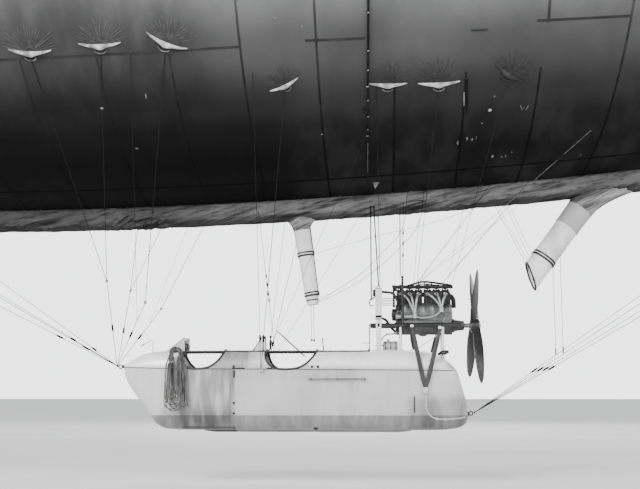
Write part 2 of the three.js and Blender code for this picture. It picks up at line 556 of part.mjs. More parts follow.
function buildEngine() {
  const { front, rear, axis, noseEnd, top } = ENGINE;
  const flange = BEARER.top + GAP;
  const half = [[62, top], [74, -3398], [82, -3436], [82, -3480], [76, -3512], [95, -3516], [95, flange],
    [62, flange], [64, -3565], [54, -3600], [30, -3625]];
  const outline = [...half, ...half.map(([y, z]) => [-y, z]).reverse()];
  const body = loft([front, rear].map((x) => outline.map(([y, z]) => vector(x, y, z))));
  const gears = rod([front - 32, 0, -3455], [front + 2, 0, -3455], 52, 20);
  const magneto = rod([front - 14, 60, -3455], [front + 60, 92, -3455], 24, 12);
  const nose = rod([rear - 2, 0, axis], [noseEnd, 0, axis], 58, 20, 36);
  const bore = rod([noseEnd - SHAFT.depth, 0, axis], [noseEnd + 5, 0, axis], SHAFT.bore, 32);
  add('crankcase', cut(join(body, gears, magneto, nose), bore), 'castMetal');

  const { radius, foot, shoulder, crown } = CYLINDER;
  const places = Array.from({ length: CYLINDER.count }, (_, i) => CYLINDER.first + CYLINDER.pitch * i);
  const plate = box([front + 8, rear - 6], [-44, 44], [top + GAP, top + 11]);
  const barrels = places.map((x) => join(
    rod([x, 0, top + 5], [x, 0, shoulder], radius, 12),
    rod([x, 0, shoulder], [x, 0, crown], radius - 5, 12, radius - 13),
    rod([x, 0, top + 5], [x, 0, top + 22], foot, 12),
  ));
  add('cylinders', join(plate, ...barrels), 'castMetal');

  const { z: camZ, front: camFront, rear: camRear, rocker } = VALVES;
  const shaft = rod([camFront, 0, camZ], [camRear, 0, camZ], VALVES.shaft, 12);
  const boxes = places.map((x) => join(
    rod([x, 0, crown + GAP], [x, 0, camZ], 9, 5),
    box([x - 12, x + 12], [-rocker, rocker], [camZ - 6, camZ + 16]),
  ));
  const rail = pipe([[1700, 0, camZ], [1745, 0, camZ + 40], [1830, 0, camZ + 48], [1960, 0, camZ + 36],
    [2050, 0, camZ]], 6, 6, 8);
  const wheel = rod([camFront - 20, 0, camZ - 10], [camFront + 2, 0, camZ - 10], 26, 14);
  const upright = rod([camFront - 26, 0, camZ + 16], [camFront - 26, 0, top - 15], 9, 8);
  const bridge = rod([camFront - 32, 0, camZ + 2], [camFront - 12, 0, camZ + 2], 14, 8);
  add('valve_gear', join(shaft, ...boxes, rail, wheel, upright, bridge), 'darkMetal');

  const { y, port, fans: [low, high] } = INTAKE;
  const fans = [[places.slice(0, 3), low], [places.slice(3), high]].map(([xs, [x, z]]) => join(
    rod([x, y, z - 26], [x, y, z + 22], 22, 12),
    ...xs.map((from) => pipe([[from, -radius - 2 * GAP, port], [from, -70, port],
      [(from + x) / 2, y + 4, port - 50], [x, y, z + 10]], INTAKE.pipe, 6, 6)),
  ));
  const link = pipe([[low[0], y, low[1] - 6], [1830, y - 10, -3490], [1930, y - 10, -3470],
    [high[0], y, high[1] - 6]], 9, 6, 6);
  const horn = rod([front, y - 6, low[1] - 8], [low[0], y, low[1] - 8], 24, 12, 14);
  add('intake_pipes', join(...fans, link, horn), 'castMetal');

  const { y: out, z: level, stub } = EXHAUST;
  const run = [[1630, out, level], [1850, out, level], [2040, out + 2, level - 4]];
  const tailpipe = [[2095, out + 14, level - 34], [2105, out + 26, level - 114]];
  const trunk = pipe([...run, ...tailpipe], EXHAUST.radius, 8, 8);
  const stubs = places.map((x) => rod([x, radius + GAP, level - 2], [x, out - 4, level - 2], stub, 6));
  add('exhaust_stack', join(trunk, ...stubs), 'darkMetal');
}

function buildRadiator() {
  const { front, rear, halfWidth, top, bottom, header, side } = RADIATOR;
  const across = [-halfWidth, halfWidth];
  const middle = (front + rear) / 2;
  const core = box([front + 4, rear - 6], [2 - halfWidth, halfWidth - 2], [bottom + 10, top - 15]);
  const tanks = [[top - header, top], [bottom, bottom + header]].map((z) => box([front, rear], across, z));
  const filler = rod([middle, 0, top - 3], [middle, 0, top + 18], 18, 12);
  const height = [bottom + 2, top - 3];
  const sides = [-halfWidth, halfWidth - side].map((y) => box([front + 2, rear - 2], [y, y + side], height));
  add('radiator', join(core, ...tanks, filler, ...sides), 'steel');
}

function buildDeckTank() {
  const { front, rear, z, radius } = TANK;
  const tank = rod([front, 0, z], [rear, 0, z], radius, 16);
  const bands = TANK.bands.map((x) => rod([x - 5, 0, z], [x + 5, 0, z], radius + 2, 16));
  const saddles = TANK.saddles.map((x) => box([x - 7, x + 7], [-34, 34], [z - 78, z - 18]));
  add('deck_tank', cut(join(tank, ...bands, ...saddles), hullRoom), 'castMetal');
}

function buildStruts() {
  const { tops, out, foot: [footX, footZ], footOut, radius } = STRUT;
  for (const [name, side] of [['strut_port', -1], ['strut_starboard', 1]]) {
    const foot = [footX, side * footOut, footZ];
    const legs = tops.map(([x, z]) => rod([x, side * out, z], foot, radius, 8));
    const pad = box([footX - 25, footX + 25], [foot[1] - 10, foot[1] + 10], [footZ - 36, footZ + 24]);
    const inward = [foot[1], foot[1] - side * 32].sort((a, b) => a - b);
    const block = box([footX - 17, footX + 17], inward, [footZ - 26, footZ + 14]);
    add(name, cut(join(...legs, pad, block), hullRoom), 'darkMetal');
  }
}

// Propeller: four twisted blades, drawn as a row of lens-shaped sections from root to tip.
function buildPropeller() {
  const sections = [
    // distance out, chord, thickness, angle from the disc in degrees
    [38, 64, 44, 62],
    [110, 78, 34, 52],
    [220, 104, 24, 42],
    [360, 118, 17, 33],
    [450, 112, 13, 30],
    [540, 92, 10, 28],
    [600, 66, 8, 27],
    [PROPELLER.radius - 4, 24, 6, 26],
  ];
  const blade = loft(sections.map(([far, chord, thick, pitch]) => {
    const lean = (pitch * Math.PI) / 180;
    return Array.from({ length: 8 }, (_, i) => {
      const turn = (2 * Math.PI * i) / 8;
      const u = (chord / 2) * Math.cos(turn);
      const v = (thick / 2) * Math.sin(turn);
      return vector(u * Math.sin(lean) + v * Math.cos(lean), u * Math.cos(lean) - v * Math.sin(lean), far);
    });
  }));
  const step = 360 / PROPELLER.blades;
  const blades = Array.from({ length: PROPELLER.blades }, (_, i) => {
    const stagger = (i % 2 ? 1 : -1) * PROPELLER.stagger;
    return blade.rotate([PROPELLER.lean + step * i, 0, 0]).translate([PROPELLER.x + stagger, 0, ENGINE.axis]);
  });
  const disc = (x0, x1, radius, sides) => rod([x0, 0, ENGINE.axis], [x1, 0, ENGINE.axis], radius, sides);
  const along = (x0, x1, radius, sides) => disc(PROPELLER.x + x0, PROPELLER.x + x1, radius, sides);
  const hub = join(along(-32, 32, PROPELLER.hub, 18), along(-40, 40, 48, 12), along(38, 52, 20, 12));
  const shaft = disc(ENGINE.noseEnd - SHAFT.depth + 5, PROPELLER.x, SHAFT.radius, 32);
  add('propeller', join(hub, shaft, ...blades), 'wood');
}

function buildGrabRails() {
  const { front, rear, out, z, radius } = RAIL;
  for (const [name, side] of [['grab_rail_port', -1], ['grab_rail_starboard', 1]]) {
    const rail = rod([front, side * out, z], [rear, side * out, z], radius, 8);
    const posts = RAIL.posts.map((x) => rod([x, side * (out - 35), z], [x, side * out, z], radius - 1, 8));
    add(name, cut(join(rail, ...posts), hullRoom), 'darkMetal');
  }
}

// Rope hank: its turns hang from a peg beside the front cockpit.
const HANK = {
  pegX: -241, pegZ: -3772, peg: 8, inner: -224, outer: -270,
  top: 44, drop: 12, lowZ: -4110, loop: [111, 150],
};

function buildHank() {
  const { pegX, pegZ, peg, inner, outer, top, drop, lowZ, loop } = HANK;
  const outline = [];
  const arc = (cx, cz, rx, rz, from, to, steps) => {
    for (let i = 0; i <= steps; i += 1) {
      const turn = ((from + ((to - from) * i) / steps) * Math.PI) / 180;
      outline.push([cx + rx * Math.cos(turn), cz + rz * Math.sin(turn)]);
    }
  };
  arc(pegX, pegZ - drop, top, top, 15, 165, 6);
  arc(pegX + 20, lowZ, ...loop, 178, 362, 12);
  const turns = slabSide(outline, outer, inner);
  add('rope_hank', cut(turns, rod([pegX, outer - 5, pegZ], [pegX, inner + 5, pegZ], peg + GAP, 16)), 'rope');
  const arm = rod([pegX, -120, pegZ], [pegX, outer - 12, pegZ], peg, 16);
  const stop = rod([pegX, outer - 12, pegZ], [pegX, outer - 6, pegZ], 15, 12);
  const plate = box([pegX - 22, pegX + 22], [-200, -178], [pegZ - 30, pegZ + 16]);
  add('rope_peg', cut(join(arm, stop, plate), hullRoom), 'darkMetal');
}

function buildEndFittings() {
  const fitting = (name, [x, y, z], toHull) => {
    const eye = ringAt([x, y, z], [0, 1, 0], EYE.radius, EYE.wire, 12, 6);
    const reach = [x + toHull * 11, x + toHull * 66].sort((a, b) => a - b);
    const plate = box(reach, [-7, 7], [z - 13, z + 14]);
    add(name, cut(join(eye, plate), hullRoom), 'darkMetal');
  };
  fitting('bow_fitting', EYE.bow, 1);
  fitting('stern_fitting', EYE.stern, -1);
}

// Main stays: fans of wire from the car's ends and sides up to the patches on the envelope.
function buildStays() {
  const patch = (x, degrees) => {
    const turn = (degrees * Math.PI) / 180;
    const deep = envelopeRadius(x) - 60;
    return [x, -deep * Math.sin(turn), -deep * Math.cos(turn)];
  };
  const bow = [EYE.bow[0] - 29, -8, EYE.bow[2] + 6];
  const knotFore = [-800, -420, -3196];
  const knotAft = [-493, -330, -3366];
  const stern = [EYE.stern[0] + 29, -8, EYE.stern[2] + 6];
  const side = [472, -232, -3922];
  const fans = {
    bow: [[bow, knotFore], [knotFore, patch(-900, 47)], [knotFore, patch(-440, 47)], [bow, knotAft],
      [knotAft, patch(0, 47)], [bow, patch(-4250, 45)], [bow, patch(-4900, 45)]],
    middle: [[side, patch(800, 41)], [side, patch(560, 43)]],
    stern: [[stern, patch(7500, 45)], [stern, patch(6700, 45)]],
  };
  const anchor = cut(box([452, 492], [-238, -205], [-3944, -3920]), hullRoom);
  for (const [name, lines] of Object.entries(fans)) {
    const knots = name === 'bow' ? [knotFore, knotAft, bow] : [lines[0][0]];
    const wires = lines.map(([from, to]) => rod(from, to, STAY, 5));
    const balls = knots.map((at) => rod([at[0], at[1], at[2] - 7], [at[0], at[1], at[2] + 7], 7, 6));
    const fan = cut(join(...wires, ...balls, ...(name === 'middle' ? [anchor] : [])), envelopeRoom);
    add(`stays_${name}_port`, fan, 'steel');
    add(`stays_${name}_starboard`, fan.mirror([0, 1, 0]), 'steel');
  }
}

buildEnvelope();
buildNoseCap();
buildDuct();
buildFrontSleeve();
buildScoop();
buildTail();
buildCarShell();
buildCarInside();
buildWindscreens();
buildEngineFrame();
buildEngine();
buildRadiator();
buildDeckTank();
buildStruts();
buildPropeller();
buildGrabRails();
buildHank();
buildEndFittings();
buildStays();

export default airship;
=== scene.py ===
import math

import bmesh
import bpy
import numpy as np
from mathutils import Matrix, Vector, noise


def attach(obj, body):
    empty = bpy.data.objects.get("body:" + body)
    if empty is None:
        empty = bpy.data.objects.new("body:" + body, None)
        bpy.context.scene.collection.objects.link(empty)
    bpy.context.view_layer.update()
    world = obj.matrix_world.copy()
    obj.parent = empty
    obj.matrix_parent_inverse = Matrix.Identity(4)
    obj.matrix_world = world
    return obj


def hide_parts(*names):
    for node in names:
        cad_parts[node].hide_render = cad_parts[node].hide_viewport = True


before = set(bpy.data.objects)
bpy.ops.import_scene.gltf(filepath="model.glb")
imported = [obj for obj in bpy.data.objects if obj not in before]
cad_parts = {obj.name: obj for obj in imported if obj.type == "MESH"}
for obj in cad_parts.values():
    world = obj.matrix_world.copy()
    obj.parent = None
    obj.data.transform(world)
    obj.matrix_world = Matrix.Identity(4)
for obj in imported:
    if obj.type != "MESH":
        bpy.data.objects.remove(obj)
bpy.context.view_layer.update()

# All sizes are metres: +X aft, +Y to starboard, +Z up, from the centre of buoyancy.
CAMERA = {"place": (1.45, -9.0, -4.125), "yaw": 3.162, "pitch": 8.103, "lens": 59.06}
FLOOR = -4.87

ENVELOPE = {"radius": 2.5525, "widest": -2.04, "bow": 8.15, "stern": 16.54}
DUCT = {"front": -4.25, "rear": 5.5, "half": 0.165, "depth": 0.16, "taper": 0.6, "lap": 0.04}
SLEEVE = {"top": (0.774, -2.56), "low": (0.881, -3.3), "end": (0.894, -3.366), "radii": (0.077, 0.057, 0.046)}
SCOOP = {"root": (3.29, -2.42), "mouth": (2.755, -3.13), "radius": 0.102, "lip": ((2.716, -3.004), (2.794, -3.255))}
HOOP = {"first": 1.585, "pitch": 0.5125, "numbers": (-22, 25)}
GORES = (14, 78, 110, 142, 179.6)
# the lengthwise seam at the stays' height is in lengths that don't meet: x, degrees round, to x, degrees round
SEAMS = ((-9.6, 46, -1.25, 46.7), (-1.25, 46.7, 0.49, 47.7), (0.948, 48.3, 1.373, 48.3), (2.589, 50, 3.249, 50),
         (2.67, 49.6, 2.67, 53.5), (4.2, 47, 13.6, 46))
# how far aft or forward a hoop seam stands at the stays' height: hoop number, metres
HOOP_SHIFT = ((-6, -0.15), (-5, -0.13), (-4, -0.085), (-3, -0.075), (-2, -0.075), (-1, -0.045), (0, 0.0), (1, 0.007),
              (2, 0.042), (3, 0.13), (4, 0.15))
# hoop seams that stop on the side, to the upper seam: hoop number, degrees round
HOOP_STOPS = {-5: 46.7, -4: 46.7, -3: 46.7, 0: 41, 1: 41, 2: 41}


# Numbers

def turns(count):
    """Angles an even step apart, once round."""
    return [2 * math.pi * k / count for k in range(count)]


def spread(start, end, count):
    return [start + (end - start) * i / count for i in range(count + 1)]


def between(table, at):
    """A value from a table of (place, value) pairs."""
    for (a, va), (b, vb) in zip(table, table[1:]):
        if at <= b:
            return va + (vb - va) * max((at - a) / (b - a), 0)
    return table[-1][1]


def eased(t):
    t = max(0.0, min(t, 1.0))
    return t * t * (3 - 2 * t)


def spun(points, degrees, axis="X"):
    turn = Matrix.Rotation(math.radians(degrees), 3, axis)
    return [turn @ p for p in points]


# Meshes

UP, DOWN, AFT = (0, 0, 1), (0, 0, -1), (1, 0, 0)
WELD, SLIVER = 2e-5, 1e-6
SHARP_BEVEL, SHARP_SHADE = 35, 38


class Shape:
    """Points and faces gathered from simple forms, made into one piece."""

    def __init__(self):
        self.points = []
        self.faces = []

    def add(self, points, faces):
        base = len(self.points)
        self.points += [Vector(p) for p in points]
        self.faces += [[base + i for i in face] for face in faces]
        return self

    def grid(self, rows, around=False, ends=False):
        """A skin over rows of points; around joins each row's ends, ends closes the first and last row."""
        width = len(rows[0])
        faces = []
        for r in range(len(rows) - 1):
            for i in range(width if around else width - 1):
                a, b = r * width + i, r * width + (i + 1) % width
                faces.append([a, b, b + width, a + width])
        if ends:
            faces.append(list(range(width))[::-1])
            faces.append([(len(rows) - 1) * width + i for i in range(width)])
        return self.add([p for row in rows for p in row], faces)

    def tube(self, path, radius, sides=8, squash=1.0, lobes=0, lay=0.03):
        """A round bar along a path; radius is a number or one for each point. lobes makes it laid rope."""
        path = [Vector(p) for p in path]
        radii = radius if hasattr(radius, "__len__") else [radius] * len(path)
        rows = []
        side = None
        gone = 0.0
        for i, point in enumerate(path):
            ahead = path[min(i + 1, len(path) - 1)] - path[max(i - 1, 0)]
            ahead.normalize()
            if side is None:
                side = ahead.cross(Vector(UP) if abs(ahead.z) < 0.9 else Vector(AFT))
            side = (side - ahead * side.dot(ahead)).normalized()
            up = ahead.cross(side)
            gone += (point - path[i - 1]).length if i else 0.0
            row = []
            for turn in turns(sides):
                reach = radii[i]
                if lobes:
                    reach *= 0.95 + 0.05 * math.cos(lobes * (turn - 2 * math.pi * gone / lay / lobes))
                row.append(point + side * reach * math.cos(turn) + up * reach * squash * math.sin(turn))
            rows.append(row)
        return self.grid(rows, around=True, ends=True)

    def rod(self, start, end, radius, sides=12):
        return self.tube([start, end], radius, sides)

    def turned(self, profile, origin, axis=AFT, sides=24):
        """A turned form: profile is (along the axis, radius) pairs."""
        origin = Vector(origin)
        axis = Vector(axis).normalized()
        side = axis.orthogonal().normalized()
        up = axis.cross(side)
        rows = [[origin + axis * along + (side * math.cos(t) + up * math.sin(t)) * radius for t in turns(sides)]
                for along, radius in profile]
        return self.grid(rows, around=True, ends=True)

    def bead(self, at, axis, half, rim, flat, radius, sides):
        """A turned barrel with eased ends, centred on a point."""
        return self.turned([(-half, rim), (-flat, radius), (flat, radius), (half, rim)], at, axis, sides)

    def ring(self, centre, axis, radius, wire, around=24, sides=8):
        centre = Vector(centre)
        axis = Vector(axis).normalized()
        side = axis.orthogonal().normalized()
        up = axis.cross(side)
        rows = []
        for k in range(around):
            turn = math.radians(360 * k / around)
            out = side * math.cos(turn) + up * math.sin(turn)
            rows.append([centre + out * (radius + wire * math.cos(t)) + axis * wire * math.sin(t)
                         for t in turns(sides)])
        return self.grid(rows + rows[:1], around=True)

    def block(self, low, high):
        (x0, y0, z0), (x1, y1, z1) = low, high
        points = [(x, y, z) for z in (z0, z1) for y in (y0, y1) for x in (x0, x1)]
        faces = [(0, 2, 3, 1), (4, 5, 7, 6), (0, 1, 5, 4), (2, 6, 7, 3), (0, 4, 6, 2), (1, 3, 7, 5)]
        return self.add(points, faces)

    def slab(self, outline, y0, y1):
        """A flat outline of (x, z) points, given a thickness across it."""
        return self.grid([[(x, y, z) for x, z in outline] for y in (y0, y1)], around=True, ends=True)

    def copied(self, side=1):
        """A copy, or with side -1 its mirror image on the other side of the airship."""
        return Shape().add([(p.x, side * p.y, p.z) for p in self.points], [face[::side] for face in self.faces])

    def mirrored(self):
        """The same form again on the other side of the airship."""
        other = self.copied(-1)
        return self.add(other.points, other.faces)


def piece(name, shape, look, body="airship", replaces=(), bevel=0.0, smooth=True, slot=None, thick=0.0):
    """Makes the shape a piece of the scene that rides on a body."""
    mesh = bpy.data.meshes.new(name)
    mesh.from_pydata(shape.points, [], shape.faces)
    work = bmesh.new()
    work.from_mesh(mesh)
    bmesh.ops.remove_doubles(work, verts=work.verts, dist=WELD)
    bmesh.ops.dissolve_degenerate(work, edges=work.edges, dist=SLIVER)
    bmesh.ops.recalc_face_normals(work, faces=work.faces)
    work.to_mesh(mesh)
    work.free()
    obj = bpy.data.objects.new(name, mesh)
    bpy.context.collection.objects.link(obj)
    if thick:
        shell = obj.modifiers.new("thick", "SOLIDIFY")
        shell.thickness = thick
        shell.offset = -1
        shell.use_even_offset = True
    if bevel:
        edge = obj.modifiers.new("edge", "BEVEL")
        edge.width = bevel
        edge.segments = 2
        edge.limit_method = "ANGLE"
        edge.angle_limit = math.radians(SHARP_BEVEL)
    if thick or bevel:
        bpy.context.view_layer.update()
        graph = bpy.context.evaluated_depsgraph_get()
        made = bpy.data.meshes.new_from_object(obj.evaluated_get(graph))
        obj.modifiers.clear()
        obj.data = made
    if smooth:
        obj.data.shade_smooth()
        obj.data.set_sharp_from_angle(angle=math.radians(SHARP_SHADE))
    obj.data.materials.clear()
    obj.data.materials.append(LOOKS[look].made)
    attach(obj, body)
    if replaces:
        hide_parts(*replaces)
    return obj


# Materials

def grey(level, warm=0.0):
    return (level * (1 + warm), level, level * (1 - 1.4 * warm))


def rgba(tone, warm=0.0):
    """A colour, or a number that stands for a grey, as a socket takes it."""
    return (*(tone if isinstance(tone, tuple) else grey(tone, warm)), 1)


def add_node(tree, kind, inputs, **settings):
    """Adds a shader node. inputs gives a socket its value, or the socket that feeds it."""
    new = tree.nodes.new("ShaderNode" + kind)
    for name, value in settings.items():
        setattr(new, name, value)
    for name, value in inputs.items():
        if isinstance(value, bpy.types.NodeSocket):
            tree.links.new(value, new.inputs[name])
        else:
            new.inputs[name].default_value = value
    return new


def ranged(tree, value, start, stop, low=0.0, high=1.0, kind="SMOOTHSTEP"):
    numbers = {"From Min": start, "From Max": stop, "To Min": low, "To Max": high}
    return add_node(tree, "MapRange", {"Value": value, **numbers}, interpolation_type=kind).outputs["Result"]


class Look:
    """A material of noise and ramps. Each method lays one more thing over it, and returns it."""

    def __init__(self, name, dark, light, grain, rough, warm=0.0, bump=0.15, depth=0.001, fine=None,
                 stretch=(1, 1, 1), spots=(0.35, 0.68), metallic=0.0, sheen=0.0, coat=0.0, shine=0.5, alpha=1.0):
        """Two tones mixed by noise, with a rougher and smoother pattern and a fine bump."""
        self.made = bpy.data.materials.new(name)
        self.made.use_nodes = True
        self.tree = self.made.node_tree
        self.sockets = self.tree.nodes["Principled BSDF"].inputs
        for socket, value in (("Metallic", metallic), ("Sheen Weight", sheen), ("Coat Weight", coat),
                              ("Specular IOR Level", shine), ("Alpha", alpha)):
            self.sockets[socket].default_value = value
        place = self.mapped(stretch)
        tones = self.ramped(self.cloud(place, grain, 6), list(zip(spots, (rgba(dark, warm), rgba(light, warm)))))
        self.tree.links.new(tones, self.sockets["Base Color"])
        polish = ranged(self.tree, self.cloud(place, grain * 2.7, 3), 0, 1, max(rough - 0.12, 0.04),
                        min(rough + 0.12, 1), kind="LINEAR")
        self.tree.links.new(polish, self.sockets["Roughness"])
        self.raised(self.cloud(place, fine or grain * 12, 2), bump, depth)

    def add(self, kind, inputs, **settings):
        return add_node(self.tree, kind, inputs, **settings).outputs

    def place(self):
        return self.add("TexCoord", {})["Object"]

    def mapped(self, scale, lean=0.0, **settings):
        turned = (0, math.radians(lean), 0)
        return self.add("Mapping", {"Vector": self.place(), "Scale": scale, "Rotation": turned}, **settings)["Vector"]

    def cloud(self, place, scale, detail):
        return self.add("TexNoise", {"Vector": place, "Scale": scale, "Detail": detail})["Fac"]

    def maths(self, operation, *values):
        return self.add("Math", dict(enumerate(values)), operation=operation)[0]

    def ramped(self, value, marks, interpolation="LINEAR"):
        ramp = add_node(self.tree, "ValToRGB", {"Fac": value})
        ramp.color_ramp.interpolation = interpolation
        stops = ramp.color_ramp.elements
        while len(stops) < len(marks):
            stops.new(0.5)
        for stop, (at, colour) in zip(stops, marks):
            stop.position = at
            stop.color = colour
        return ramp.outputs["Color"]

    def tinted(self, colour, factor=1.0, blend_type="MIX"):
        """Puts a colour over the material's own."""
        base = self.sockets["Base Color"]
        inputs = {"Factor": factor, "A": base.links[0].from_socket, "B": colour}
        mixed = self.add("Mix", inputs, data_type="RGBA", blend_type=blend_type)
        self.tree.links.new(mixed["Result"], base)
        return self

    def raised(self, height, strength, distance):
        """Puts a relief over the material's own."""
        normal = self.sockets["Normal"]
        inputs = {"Height": height, "Strength": strength, "Distance": distance}
        if normal.links:
            inputs["Normal"] = normal.links[0].from_socket
        self.tree.links.new(self.add("Bump", inputs)["Normal"], normal)
        return self

    def woven(self, pitch=0.02, depth=0.0006, strength=0.3):
        """Adds the two thread directions of a plain weave to the relief."""
        waves = {"Vector": self.place(), "Scale": 1 / pitch, "Distortion": 1.5}
        across, along = (self.add("TexWave", waves, bands_direction=axis)["Fac"] for axis in ("X", "Z"))
        return self.raised(self.maths("ADD", across, along), strength, depth)

    def streaked(self, stretch, scale, dark, amount):
        """Darkens the material in long streaks."""
        streak = self.cloud(self.mapped(stretch), scale, 4)
        return self.tinted(rgba(dark), ranged(self.tree, streak, 0.5, 0.75, 0, amount, kind="LINEAR"))

    def painted_belly_shade(self, stops):
        """Paints shade by the angle round the envelope's axis: the tone is darkened towards the belly and kept full at
        the crown.
        """
        parts = self.add("SeparateXYZ", {"Vector": self.place()})
        across, below = self.maths("ABSOLUTE", parts["Y"]), self.maths("MULTIPLY", parts["Z"], -1)
        share = ranged(self.tree, self.maths("ARCTAN2", across, below), 0, math.pi, kind="LINEAR")
        marks = [(degrees / 180, rgba(level)) for degrees, level in stops]
        return self.tinted(self.ramped(share, marks, "EASE"), blend_type="MULTIPLY")

    def dirt_and_painted_light(self, *zones, tone=0.02, scale=5.0):
        """Paints zones of the material towards a tone, as dirt, painted shade and painted highlights: low x, high x,
        low z, high z, soft edge, amount, evenness.
        """
        parts = self.add("SeparateXYZ", {"Vector": self.place()})
        cloud = self.cloud(self.mapped((2.2, 1, 0.5)), scale, 5)
        for x0, x1, z0, z1, soft, amount, evenness in zones:
            whole = None
            for value, start, stop, low, high in (
                (parts["X"], x0 - soft, x0, 0, 1), (parts["X"], x1, x1 + soft, 1, 0),
                (parts["Z"], z0 - soft, z0, 0, 1), (parts["Z"], z1, z1 + soft, 1, 0),
                (cloud, 0.36, 0.62, amount * evenness, amount),
            ):
                mask = ranged(self.tree, value, start, stop, low, high)
                whole = mask if whole is None else self.maths("MULTIPLY", whole, mask)
            self.tinted(rgba(tone, 0.01), whole)
        return self

    def folds_with_painted_shade(self, folds, depth, floor=0.12):
        """Lays slanting slack folds over cloth, in its relief, and as painted shade that darkens its tone in the folds
        down to floor.
        """
        total = None
        for lean, length, width, share in folds:
            place = self.mapped((length, length, width), lean, vector_type="TEXTURE")
            ridge = ranged(self.tree, self.cloud(place, 1, 4), 0.39, 0.63, 0, share)
            total = ridge if total is None else self.maths("ADD", total, ridge)
        self.tinted(self.ramped(total, ((0.12, rgba(floor)), (0.85, rgba(1)))), blend_type="MULTIPLY")
        return self.raised(total, 0.8, depth)

    def underside(self, level):
        """Paints shade on the cloth that faces the ground, darkening it by its normal."""
        parts = self.add("SeparateXYZ", {"Vector": self.add("NewGeometry", {})["Normal"]})
        return self.tinted(ranged(self.tree, parts["Z"], -1, -0.45, level), blend_type="MULTIPLY")


# painted belly shade: tone multiplier against the angle from the bottom, in degrees, darkest at the belly
PAINTED_BELLY_SHADE = ((0, 0.008), (22, 0.022), (30, 0.06), (36, 0.14), (48, 0.48), (58, 0.95), (75, 1.0))
PAINTED_BELLY_SHADE_CLOTH = ((0, 0.02), (22, 0.05), (30, 0.12), (36, 0.2), (48, 0.5), (58, 0.95), (75, 1.0))
# zones that dirt_and_painted_light() takes
# in order: painted shadow along the bottom edge forward of the clip, stains on the side panel, a dark line by the clip,
# a stain on the middle cowl, painted shade below the bilge, darker along the shoulder aft of the clip, a stain low at
# the front, darker low at the stern
DIRT_AND_PAINTED_SHADE = ((-0.19, 0.25, -4.5, -4.396, 0.006, 0.95, 0.9), (-0.2, 0.235, -4.4, -3.925, 0.03, 0.6, 0.25),
        (0.21, 0.24, -4.3, -3.93, 0.008, 0.35, 0.4), (0.05, 0.355, -3.905, -3.7, 0.008, 0.42, 0.5),
        (-0.9, 2.4, -4.5, -4.302, 0.004, 0.66, 0.75), (0.25, 1.2, -3.99, -3.9, 0.05, 0.16, 0.0),
        (-0.33, 0.2, -4.5, -4.3, 0.12, 0.4, 0.6), (1.75, 2.3, -4.5, -4.2, 0.1, 0.6, 0.6))
# zones painted lighter as highlights: the bow and rear cowls' tops, a patch on the middle cowl's top, and the bow's
# side
PAINTED_HIGHLIGHTS = ((-0.9, -0.25, -3.87, -3.7, 0.05, 1.0, 0.9), (0.9, 2.0, -3.87, -3.7, 0.06, 0.9, 0.8),
         (0.4, 0.5, -3.87, -3.7, 0.05, 0.4, 0.5), (-0.8, -0.38, -4.3, -3.93, 0.05, 0.2, 0.5))
